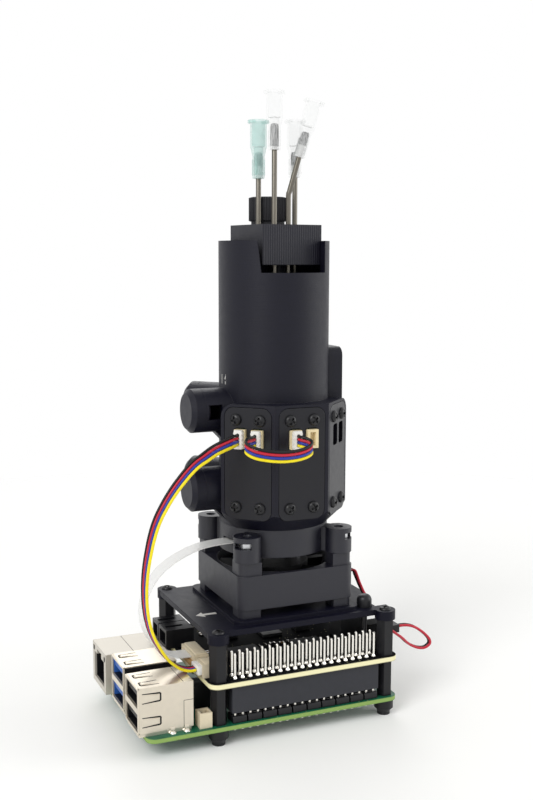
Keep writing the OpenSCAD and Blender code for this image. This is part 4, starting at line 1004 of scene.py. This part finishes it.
# The CAD nodes that keep their shape, under their finishes
COATED = {
    "Computer board": "computer_board",
    "Stack board": "stack_board",
    "Sensor boards": "sensor_boards",
    "Printed black": "vial_holder pocket_caps",
    "Printed base": "stirrer_housing holder_base",
    "Printed plate": "top_plate",
    "Printed black ribbed": "cap_block",
    "Panel satin": "left_panel front_panel right_panel",
    "Black moulding": "memory_card black_sockets button_switch motor_plug feet lower_standoffs "
    "upper_standoffs button_cap vial_cap",
    "Socket header": "socket_header",
    "Motor header": "motor_header",
    "Rotor": "rotor",
    "Chip packages": "board_chips stack_chips heater_board",
    "Jack shell": "usb_jack_black usb_jack_blue edge_sockets",
    "Network shell": "network_jack",
    "Pale cream": "ribbon_socket bus_socket fan_header",
    "Tan plastic": "ribbon_latch",
    "White plastic": "power_button",
    "Zinc steel": "tower_screws tower_nuts",
    "Bronze": "stirrer_bearing",
    "Windings": "stirrer_stator",
    "Nickel": "rotor_magnets",
    "Dark lamp": "light_units",
    "Glass": "vial",
    "Septum": "septum",
    "Stir bar": "stir_bar",
}


class BIOREACTOR_OT_finishes(Operator):
    """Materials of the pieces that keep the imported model's own shape"""

    bl_idname = "bioreactor.finishes"
    bl_label = "Finishes"

    def execute(self, context):
        for finish, nodes in COATED.items():
            for node in nodes.split():
                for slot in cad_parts[node].material_slots:
                    slot.material = look(finish)
        return {"FINISHED"}


# The pins' lowest and highest points, and the outline across a block of the header
STACK_PIN = (16, 28.6)
HEADER_PIN = (4.3, 14.9)
HEADER_HALF = 2.3
HEADER_SECTION = [
    (-27.04, BOARD_TOP), (-21.96, BOARD_TOP), (-21.96, 8.2), (-22.4, 8.8), (-23.6, 8.8),
    (-24.0, 8.3), (-25.0, 8.3), (-25.4, 8.8), (-26.6, 8.8), (-27.04, 8.2),
]


class BIOREACTOR_OT_pins(Operator):
    """Long pins with soldered feet, and the computer board's header in two-pin blocks"""

    bl_idname = "bioreactor.pins"
    bl_label = "Pins"

    def execute(self, context):
        pins = Piece("stack_pins", "base", "pin_metal", "Tinned pin")
        header = Piece("board_header", "base", "black_plastic", "Black moulding", "Tinned pin")
        for i in range(10):
            middle = (i - 4.5) * 2 * PIN_STEP
            part = prism(HEADER_SECTION, middle - HEADER_HALF, middle + HEADER_HALF, 0.12, 1)
            header.add(part, turned_about("Z", 90) @ turned_about("X", 90))
        for x, y in PINS:
            self.pin(pins, x, y, *STACK_PIN)
            self.solder(pins, x, y, STACK_TOP, 1)
            self.pin(header, x, y, *HEADER_PIN, 1)
            self.solder(header, x, y, BOARD_LOW, -1, 1)
        pins.done("long_pins")
        header.done("pin_header")
        return {"FINISHED"}

    def pin(self, piece, x, y, low, high, material=0):
        """A square pin with a tapered tip at both ends."""
        point = settings().sizes.pin_point / MM
        wide = PIN_HALF * math.sqrt(2)
        place = moved(x, y, 0) @ turned_about("Z", 45)
        for start, end, first, last in (
            (low + point, high - point, wide, wide),
            (high - point, high, wide, wide / 2),
            (low, low + point, wide / 2, wide),
        ):
            piece.add(rod(first, start, end, last, sides=4), place, material)

    def solder(self, piece, x, y, level, way, material=0):
        """A fillet of solder round a pin, above the board for way 1 and below for -1."""
        sizes = settings().sizes
        wide, tall = sizes.solder_radius / MM, way * sizes.solder_height / MM
        shares = ((0, 0), (0.9, 0), (1, 0.2), (0.95, 0.5), (0.72, 0.78), (0.5, 1), (0, 1))
        part = turned([(wide * r, tall * z) for r, z in shares], steps=10)
        piece.add(part, moved(x, y, level), material)


# The jacks, drawn with the mouth at x = 0, the middle at y = 0 and the board's top at z = 0.
# A row of boxes holds two corners, the number of a finish and the width of a bevelled edge

SHELL, SEAMS_AND_SHADE, GILT, BLUE, BLACK, TINNED = range(6)
JACK_SIDE, JACK_TOP = 6.6, 15.4
JACK_SHEET = (
    ((14.4, -6.62, 1.4), (14.54, -6.5, 9.6), SEAMS_AND_SHADE, 0),
    ((14.4, -6.62, 9.6), (17.5, -6.5, 9.74), SEAMS_AND_SHADE, 0),
    ((14.4, -6.2, 15.3), (14.54, 6.2, 15.42), SEAMS_AND_SHADE, 0),
    ((0.15, -6.66, 1.25), (0.65, -6.15, 15.46), SHELL, 0.12),
    ((0.15, 6.15, 1.25), (0.65, 6.66, 15.46), SHELL, 0.12),
    ((0.15, -6.66, 14.95), (0.65, 6.66, 15.46), SHELL, 0.12),
    ((0.15, -6.66, 1.25), (0.65, 6.66, 1.7), SHELL, 0.12),
)
# A black sheet on the blue jack's side towards the black jack: painted shade in the gap between the jacks
BLUE_JACK_SHADE_SHEET = (((0.5, -6.66, 0.6), (17.2, -6.5, 15.05), BLACK, 0),)
MOUTHS = (1.8, 9.2)
# Black liners over the shell's inner walls of each mouth: painted shade
MOUTH_SHADE_LINERS = (
    ((0.7, -6.17, 0.03), (13, -6.05, 5.57), BLACK, 0),
    ((0.7, -6.17, 0.03), (13, 6.17, 0.15), BLACK, 0),
    ((12.85, -6.17, 0.03), (12.97, 6.17, 5.57), BLACK, 0),
)
# The tongue, then a far wall and a ceiling in the tongue's colour; in the black jack these walls are black,
# painted shade
TONGUE_AND_WALLS = (
    ((0.9, -5.65, 2.85), (12.9, 5.65, 4.74), 0.12),
    ((0.7, 6.05, 0.03), (13, 6.17, 5.57), 0),
    ((0.7, -6.17, 5.45), (13, 6.17, 5.57), 0),
)
NETWORK_BOXES = (
    ((0.7, -5.87, 1.83), (14.97, -5.75, 10.37), BLACK, 0),
    ((0.7, 5.75, 1.83), (14.97, 5.87, 10.37), BLACK, 0),
    ((0.7, -5.87, 1.83), (14.97, 5.87, 1.95), BLACK, 0),
    ((14.85, -5.87, 1.83), (14.97, 5.87, 10.37), BLACK, 0),
    ((0, -7.3, 10.6), (0.3, -5.5, 12.4), BLUE, 0.1),
    ((0, 5.5, 10.6), (0.3, 7.3, 12.4), BLACK, 0.1),
    ((9.5, -7.6, 13.4), (9.64, 7.6, 13.52), SEAMS_AND_SHADE, 0),
)
NETWORK_CONTACT = [(1.2, 9.3), (1.5, 9.3), (9.5, 6.0), (9.5, 5.7), (9.2, 5.7)]


class BIOREACTOR_OT_jacks(Operator):
    """Spring tabs, flanges, tongues and contacts of the jacks"""

    bl_idname = "bioreactor.jacks"
    bl_label = "Jack details"

    def execute(self, context):
        details = Piece(
            "jack_details", "base", "shell_metal", "Jack shell", "Dark recess", "Gilt contact",
            "Blue tongue", "Black moulding", "Tinned pin",
        )
        self.double_jack(details, moved(*BLACK_JACK, BOARD_TOP), BLACK)
        blue = moved(*BLUE_JACK, BOARD_TOP)
        self.double_jack(details, blue, BLUE)
        details.boxes(BLUE_JACK_SHADE_SHEET, blue)
        self.network_jack(details, moved(*NETWORK_JACK, BOARD_TOP))
        for x, half in EDGE_SOCKETS:
            details.box((x - half, 23.5, 8.0), (x + half, 28.4, 8.6), BLACK, 0.1)
        details.done()
        return {"FINISHED"}

    def double_jack(self, piece, place, tongue):
        """The sheet's seams, lip, tabs and flanges, and what is inside the two mouths."""
        piece.boxes(JACK_SHEET, place)
        for height in MOUTHS:
            inside = place @ moved(0, 0, height)
            piece.boxes(MOUTH_SHADE_LINERS, inside)
            for low, high, edge in TONGUE_AND_WALLS:
                piece.box(low, high, tongue, edge, place=inside)
            for at in (-3.6, -1.2, 1.2, 3.6):
                piece.box((1.3, at - 0.5, 2.77), (9, at + 0.5, 2.87), GILT, 0.02, 1, inside)
            for way in (-1, 1):
                wall = inside @ moved(4.4, way * JACK_SIDE, 2.9)
                self.tab(piece, wall @ turned_about("X", -90 * way))
        for at in (-3.2, 3.2):
            self.tab(piece, place @ moved(4.4, at, JACK_TOP) @ turned_about("Z", 180))
        for x in (10.9, 15.4):
            for y in (-JACK_SIDE, JACK_SIDE):
                piece.box((x - 0.7, y - 0.14, -0.02), (x + 0.7, y + 0.14, 1.9), SHELL, 0.08, place=place)
                piece.add(rod(1.1, 0, 0.5, 0.6, 14), place @ moved(x, y, 0), TINNED)

    def network_jack(self, piece, place):
        """Walls, lights, contacts and shield tabs."""
        piece.boxes(NETWORK_BOXES, place)
        for i in range(8):
            contact = place @ moved(0, (i - 3.5) * 1.02, 0) @ turned_about("X", 90)
            piece.add(prism(NETWORK_CONTACT, -0.14, 0.14), contact, GILT)
        for height in (4, 9):
            self.tab(piece, place @ moved(5.4, -8, height) @ turned_about("X", 90))

    def tab(self, piece, place):
        """A spring tab in its U-shaped slot, on a wall facing up Z."""
        end, half, gap = 3.0, 1.45, 0.5
        slot = [
            (-end, half + 0.15), (end - 0.4, half), (end, half - 0.4), (end, half - 0.7),
            (end - gap, half - gap), (-end, half - 0.1),
        ]
        # The slot is drawn as flat dark prisms on the wall: painted shade where the opening is
        for way in (-1, 1):
            piece.add(prism([(x, way * y) for x, y in slot], -0.1, 0.025), place, SEAMS_AND_SHADE)
        piece.box((end - gap, 0.45 - half, -0.1), (end, half - 0.45, 0.025), SEAMS_AND_SHADE, place=place)
        tip, side = end - gap - 0.12, half - gap - 0.12
        bend = [
            (-end, 0.03), (-1.2, 0.05), (1.2, 0.2), (tip - 0.4, 0.22), (tip, 0.1), (tip, -0.05),
            (-end, -0.05),
        ]
        piece.add(prism(bend, -side, side, 0.03, 1), place @ turned_about("X", 90), SHELL)


class BIOREACTOR_OT_plugs(Operator):
    """Cream sockets of the sensors, and the white plugs of the wire cables"""

    bl_idname = "bioreactor.plugs"
    bl_label = "Sockets and plugs"

    def execute(self, context):
        sockets = Piece("panel_sockets", "base", "cream_plastic", "Cream plastic", "Dull gilt")
        plugs = Piece("wire_plugs", "base", "white_plastic", "White plastic", "Dark recess")
        for side in SOCKET_PLACES:
            place = on_side(*side, SOCKET_BACK, SENSOR_HEIGHT)
            plugged = side != BARE_SOCKET
            walls = (0.35, 0.3) if plugged else (1.0, 0.85)
            sockets.add(cup((-1.9, -2.95, 0), (1.9, 2.95, 2.2), walls, 1.9, 0.1), place)
            if plugged:
                self.plug(plugs, on_side(*side, SOCKET_BACK + 0.6, SENSOR_HEIGHT))
            else:
                for at in (-1.5, -0.5, 0.5, 1.5):
                    sockets.box((-0.9, at - 0.15, 0.3), (-0.3, at + 0.15, 1.2), 1, 0.05, 1, place)
        self.plug(plugs, moved(*BUS_PLUG) @ turned_about("Y", -90))
        sockets.done("sensor_sockets")
        plugs.done("cable_plugs")
        return {"FINISHED"}

    def plug(self, piece, place):
        """A plug drawn up Z: a shank, a head with side ribs, and four wire mouths."""
        piece.box((-1.45, -2.6, 0), (1.45, 2.6, 1.65), 0, 0.06, 1, place)
        piece.box((-1.35, -2.95, 1.6), (1.35, 2.95, 3.1), 0, 0.2, place=place)
        for low, high in ((-1.55, -1.3), (1.3, 1.55)):
            for at in (-2.0, -0.7, 0.7, 2.0):
                piece.box((low, at - 0.35, 1.65), (high, at + 0.35, 2.95), 0, 0.1, 1, place)
        # The four wire mouths are dark discs on the head: painted shade in the holes
        for i in range(4):
            at = (i - 1.5) * settings().sizes.wire_step / MM
            piece.add(rod(0.6, 2.95, 3.12, sides=16, edge=0.03), place @ moved(0, at, 0), 1)


# Rows of small parts: the way each runs, its level across that way, start, end and height
SMALL_ROWS = (
    ("x", -10.5, -22, 12, BOARD_TOP), ("x", 10.5, -20, 10, BOARD_TOP), ("y", 13.5, -8, 8, BOARD_TOP),
    ("x", -18.5, -28, 12, BOARD_TOP), ("x", 18.5, -28, 26, BOARD_TOP), ("x", -15, -24, 18, STACK_TOP),
    ("x", -2, -24, 18, STACK_TOP), ("x", 15, -20, 16, STACK_TOP),
)
# Boxes: two corners, a material's number and the width of a bevelled edge
# Two tall dark chips on the computer board under the stack board: painted shade where the stack board shades
# the board
TALL_SHADE_CHIPS = (
    ((-32.6, -12.6, BOARD_TOP), (-27.2, -8.2, 14.4), 0, 0.3),
    ((-31.4, -7.4, BOARD_TOP), (-26.4, -2.6, 13.2), 0, 0.3),
)
LIDS = (
    ((-32.6, -14.5, 25.2), (-29.0, -3.5, 25.75), 0, 0.15),
    ((-33.1, -14.9, 22.0), (-32.3, -3.1, 25.35), 0, 0.15),
    ((-32.0, -21.0, 24.5), (-29.2, -15.6, 24.8), 0, 0.1),
    ((-33.9, -13.6, 21.4), (-33.35, -4.4, 22.3), 1, 0.1),
)
# Pins at the side of the stack board's sockets: their count, the first's y, their step and their end
SIDE_PINS = ((6, -13.4, 1.8, -27.7), (4, -20.0, 1.1, -27.9))
FAN_PINS = [(x, y) for x in (-34.6, -33.0) for y in (-25.3, -23.7)]
SOCKET_CONTACTS = (9.6, 12.5, 17.6, 19.8)


class BIOREACTOR_OT_small_parts(Operator):
    """Rows of resistors and capacitors on both boards, and pins in the small headers"""

    bl_idname = "bioreactor.small_parts"
    bl_label = "Small board parts"

    def execute(self, context):
        picks = random.Random(7)
        parts = Piece(
            "board_small_parts", "base", "chip_black", "Chip packages", "Tinned pin", "Capacitor bodies"
        )
        for way, level, start, end, height in SMALL_ROWS:
            at = start
            while at < end:
                long, wide = picks.choice(((1.0, 0.5), (1.6, 0.8), (1.6, 0.8), (2.0, 1.2)))
                place = (at, level + picks.uniform(-0.4, 0.4)) if way == "x" else (level, at)
                turn = 90 if picks.random() < 0.6 else 0
                place = moved(*place, height) @ turned_about("Z", turn)
                self.small_part(parts, place, long, wide, 0 if picks.random() < 0.5 else 2)
                at += long + picks.choice((1.0, 1.4, 2.6))
        parts.boxes(TALL_SHADE_CHIPS)
        parts.done()
        lids = Piece("socket_lids", "base", "cream_plastic", "Pale cream", "Tan plastic")
        lids.boxes(LIDS)
        lids.done()
        pins = Piece("small_header_pins", "base", "pin_metal", "Tinned pin")
        for count, first, step, end in SIDE_PINS:
            for i in range(count):
                y = first + step * i
                pins.box((-28.65, y - 0.2, STACK_TOP), (end, y + 0.2, STACK_TOP + 0.3), 0, 0.06, 1)
        for x, y in FAN_PINS:
            pins.box((x - 0.2, y - 0.2, 8.1), (x + 0.2, y + 0.2, 11.0), 0, 0.1)
        for y in SOCKET_CONTACTS:
            pins.box((-33.5, y - 0.3, 22.6), (-28.9, y + 0.3, 23.2), 0, 0.1)
        pins.done()
        return {"FINISHED"}

    def small_part(self, piece, place, long, wide, body):
        """A resistor or a capacitor: a body between two tinned ends."""
        half, side, tall, end = long / 2, wide / 2, wide * 0.55, long * 0.22
        piece.box((end - half, 0.03 - side, 0), (half - end, side - 0.03, tall), body, 0.04, 1, place)
        for low, high in ((-half, end - half), (half - end, half)):
            piece.box((low, -side, 0), (high, side, tall + 0.03), 1, 0.05, 1, place)


class BIOREACTOR_OT_screws(Operator):
    """Domed screws with cross recesses in the plate and the panels"""

    bl_idname = "bioreactor.screws"
    bl_label = "Screws"

    def execute(self, context):
        panels = Piece("panel_fasteners", "base", "black_steel", "Black screws")
        head = self.head(1.2, 7.0)
        for turn in PANEL_TURNS:
            for along in (-4, 4):
                for rise in (-13.8, 13.8):
                    place = on_side(turn, along, PANEL_FACE, PANEL_MIDDLE + rise)
                    cross = turned_about("Z", 31 * along + 7 * rise + turn)
                    panels.add(head.copy(), place @ cross)
        head.free()
        panels.done("panel_screws", sharp=50)
        plate = Piece("plate_fasteners", "base", "black_plastic", "Black screws")
        head = self.head(0.9, 8.0)
        for k, (x, y) in enumerate(HOLES):
            plate.add(head.copy(), moved(x, y, PLATE_TOP) @ turned_about("Z", 23 * k))
        head.free()
        plate.done("plate_screws", sharp=50)
        return {"FINISHED"}

    def head(self, height, shank):
        """A domed head with a cross recess, above a threaded shank."""
        radius, arm, half = 1.9, 1.2, 0.34
        dome = ((0, 1), (0.45, 0.97), (0.75, 0.8), (0.93, 0.5), (1, 0.15), (1, 0), (0, 0))
        part = turned([(radius * r, height * z) for r, z in dome], steps=28)
        for x, y, depth in ((arm, half, 0.75), (half, arm, 0.77)):
            part = carved(part, block((-x, -y, height - depth), (x, y, height + 1)))
        level, step = 0.02, 0.5
        thread = [(0, level)]
        while level > step - shank:
            thread += [(1.14, level), (0.936, level - step / 2)]
            level -= step
        return merged(part, turned(thread + [(0, level)], steps=16))


class BIOREACTOR_OT_needles(Operator):
    """Four needles: steel tubes with see-through hubs, each with a glue core"""

    bl_idname = "bioreactor.needles"
    bl_label = "Needles"

    def execute(self, context):
        for i, ((x, y), foot, hub, glue_low) in enumerate(NEEDLES):
            name = f"needle_{i + 1}"
            skin, slot = ("Clear hub", "needle_clear") if i else ("Green hub", "needle_green")
            piece = Piece(f"{name}_hub", name, slot, skin, "Needle glue", "Milky foot")
            tube = Piece(f"{name}_tube", name, slot, "Needle steel")
            if i == BENT_NEEDLE:
                base = moved(x, y, BEND_HEIGHT) @ turned_about("Z", BEND_TURN)
                reach = (hub - BEND_HEIGHT) / math.cos(math.radians(BEND_LEAN))
                tube.add(self.bent_tube(foot - BEND_HEIGHT, reach + 5), base)
                place = base @ turned_about("Y", BEND_LEAN) @ moved(0, 0, reach)
            else:
                place = moved(x, y, hub)
                tube.add(rod(NEEDLE_RADIUS, foot - hub, 4.98, edge=0.05), place)
            self.hub(piece, place, glue_low)
            tube.done(sharp=60)
            piece.done(name, sharp=60)
        return {"FINISHED"}

    def bent_tube(self, low, high):
        """A tube bent once by a small angle, swept through a short curve."""
        lean = math.radians(BEND_LEAN)
        stops = [((0, 0, low), 0), ((0, 0, -1), 0)]
        for share in (k / 6 for k in range(1, 6)):
            stops.append(((math.tan(lean / 2) * share**2, 0, 2 * share - 1), lean * share))
        stops += [((math.sin(lean) * reach, 0, math.cos(lean) * reach), lean) for reach in (1, high)]
        angles = [math.tau * k / 24 for k in range(24)]
        circle = [mm(NEEDLE_RADIUS * math.cos(a), NEEDLE_RADIUS * math.sin(a), 0) for a in angles]
        rings = []
        for place, angle in stops:
            matrix = moved(*place) @ Matrix.Rotation(angle, 4, "Y")
            rings.append([matrix @ point for point in circle])
        return lofted(rings)

    def hub(self, piece, place, glue_low):
        """A hub's shell, the glue inside it from glue_low up, and the milky foot below."""
        bore = 1.95 - settings().sizes.hub_wall / MM
        skin = [
            (0.9, 0), (1.85, 0), (1.95, 0.15), (1.95, 6.8), (2.65, 9.8), (2.65, 16.7), (2.85, 16.9),
            (3.3, 16.95), (3.35, 17.05), (3.35, 17.9), (3.28, 18), (2.2, 18), (2.1, 17.9), (2.1, 10.0),
            (bore, 9.8), (bore, 1.2), (0.9, 0.9),
        ]
        piece.add(turned(skin, closed=True), place)
        outline = [
            (-3.35, -0.9), (-2.7, -1.5), (2.7, -1.5), (3.35, -0.9), (3.35, 0.9), (2.7, 1.5),
            (-2.7, 1.5), (-3.35, 0.9),
        ]
        lugs = prism(outline, 17.05, 17.95, 0.1, 1)
        piece.add(carved(lugs, rod(2.2, 17, 19.5, sides=32)), place)
        for turn in (45, 135, 225, 315):
            piece.box((1.8, -0.22, 1.0), (2.2, 0.22, 5.9), 0, 0.08, 1, place @ turned_about("Z", turn))
        glue = [
            (0.83, glue_low), (1.3, glue_low), (1.35, glue_low + 0.4), (1.3, 7.0), (1.15, 7.8), (0.83, 8.0),
        ]
        top = glue_low - 0.1
        foot = [(0.86, 0.05), (1.4, 0.05), (1.42, top), (0.86, top)]
        film = [(0.6, 9.8), (1.9, 9.8), (1.9, 9.95), (0.6, 9.95)]
        for profile, material in ((glue, 1), (foot, 2), (film, 2)):
            piece.add(turned(profile, steps=24, closed=True), place, material)


class BIOREACTOR_OT_port_plug(Operator):
    """The knurled plug in the cap block"""

    bl_idname = "bioreactor.port_plug"
    bl_label = "Knurled plug"

    def execute(self, context):
        plug = Piece("knurled_plug", "plug", "black_plastic", "Knurled plastic")
        low, high = PLUG_HEAD
        profile = [
            (0, 150.1), (4.6, 150.1), (5.0, 150.6), (5.0, 158.1), (5.4, 158.1), (5.4, low), (5.7, low),
            (5.95, low + 0.3), (5.95, high - 0.5), (5.5, high - 0.08), (4.4, high - 0.08),
            (4.2, high - 0.4), (0, high - 0.4),
        ]
        place = moved(*PLUG_AXIS, 0)
        plug.add(turned(profile, steps=64), place)
        count = settings().sizes.knurls
        for i in range(count):
            turn = place @ turned_about("Z", 360 * i / count)
            plug.box((5.8, -0.2, low + 0.15), (6.2, 0.2, high - 0.25), 0, 0.14, place=turn)
        plug.done("port_plug")
        return {"FINISHED"}


class BIOREACTOR_OT_marks(Operator):
    """The plate's arrow and the holder's port number"""

    bl_idname = "bioreactor.marks"
    bl_label = "Marks"

    def execute(self, context):
        marks = Piece("printed_marks", "base", "print_black", "Printed marks")
        arrow = [
            (-29.7, -6.6), (-27.2, -4.4), (-27.2, -5.9), (-22.9, -5.9), (-22.9, -7.3), (-27.2, -7.3),
            (-27.2, -8.8),
        ]
        marks.add(prism(arrow, PLATE_TOP - 0.05, PLATE_TOP + 0.06))
        number = lettering("14", NUMBER_SIZE)
        for vert in number.verts:
            x, y, z = vert.co / MM
            angle = math.radians(NUMBER_TURN) + x / HOLDER_RADIUS
            reach = HOLDER_RADIUS - INK_DEPTH + z
            vert.co = mm(reach * math.sin(angle), -reach * math.cos(angle), NUMBER_HEIGHT + y)
        marks.add(number)
        marks.done()
        return {"FINISHED"}


def lettering(text, size):
    """Raised lettering in the XY plane, centred, in a mesh of its own."""
    font = bpy.data.curves.new("lettering", "FONT")
    font.body = text
    font.size = size * MM
    font.extrude = INK_DEPTH * MM
    font.offset = INK_SPREAD * MM
    font.align_x = font.align_y = "CENTER"
    thing = placed("lettering", font)
    bpy.context.view_layer.update()
    shown = thing.evaluated_get(bpy.context.evaluated_depsgraph_get())
    part = bmesh.new()
    part.from_mesh(shown.to_mesh())
    shown.to_mesh_clear()
    bpy.data.objects.remove(thing)
    bpy.data.curves.remove(font)
    bmesh.ops.remove_doubles(part, verts=part.verts, dist=MERGE)
    bmesh.ops.recalc_face_normals(part, faces=part.faces)
    return part


class BioreactorSettings(PropertyGroup):
    """Everything that a user may change."""

    stage: PointerProperty(name="Stage", description="Camera, floor and lamps", type=StageSettings)
    colours: PointerProperty(name="Colours", description="The finishes' colours", type=ColourSettings)
    sizes: PointerProperty(name="Sizes", description="Small sizes", type=SizeSettings)


OPERATORS = (
    BIOREACTOR_OT_stage,
    BIOREACTOR_OT_wires,
    BIOREACTOR_OT_leads,
    BIOREACTOR_OT_flat_cable,
    BIOREACTOR_OT_finishes,
    BIOREACTOR_OT_pins,
    BIOREACTOR_OT_jacks,
    BIOREACTOR_OT_plugs,
    BIOREACTOR_OT_small_parts,
    BIOREACTOR_OT_screws,
    BIOREACTOR_OT_needles,
    BIOREACTOR_OT_port_plug,
    BIOREACTOR_OT_marks,
)


class BIOREACTOR_PT_pieces(Panel):
    """The bioreactor's pieces and settings"""

    bl_idname = "BIOREACTOR_PT_pieces"
    bl_label = "Bioreactor"
    bl_space_type = "VIEW_3D"
    bl_region_type = "UI"
    bl_category = "Bioreactor"

    def draw(self, context):
        layout = self.layout
        for kind in OPERATORS:
            layout.operator(kind.bl_idname)
        for group in (settings().stage, settings().colours, settings().sizes):
            box = layout.box()
            for name in group.__annotations__:
                box.prop(group, name)


CLASSES = (StageSettings, ColourSettings, SizeSettings, BioreactorSettings, *OPERATORS, BIOREACTOR_PT_pieces)


def register():
    for kind in CLASSES:
        bpy.utils.register_class(kind)
    bpy.types.Scene.bioreactor = PointerProperty(type=BioreactorSettings)


def unregister():
    del bpy.types.Scene.bioreactor
    for kind in reversed(CLASSES):
        bpy.utils.unregister_class(kind)


def main():
    register()
    for kind in OPERATORS:
        group, name = kind.bl_idname.split(".")
        getattr(getattr(bpy.ops, group), name)()


if __name__ == "__main__":
    main()
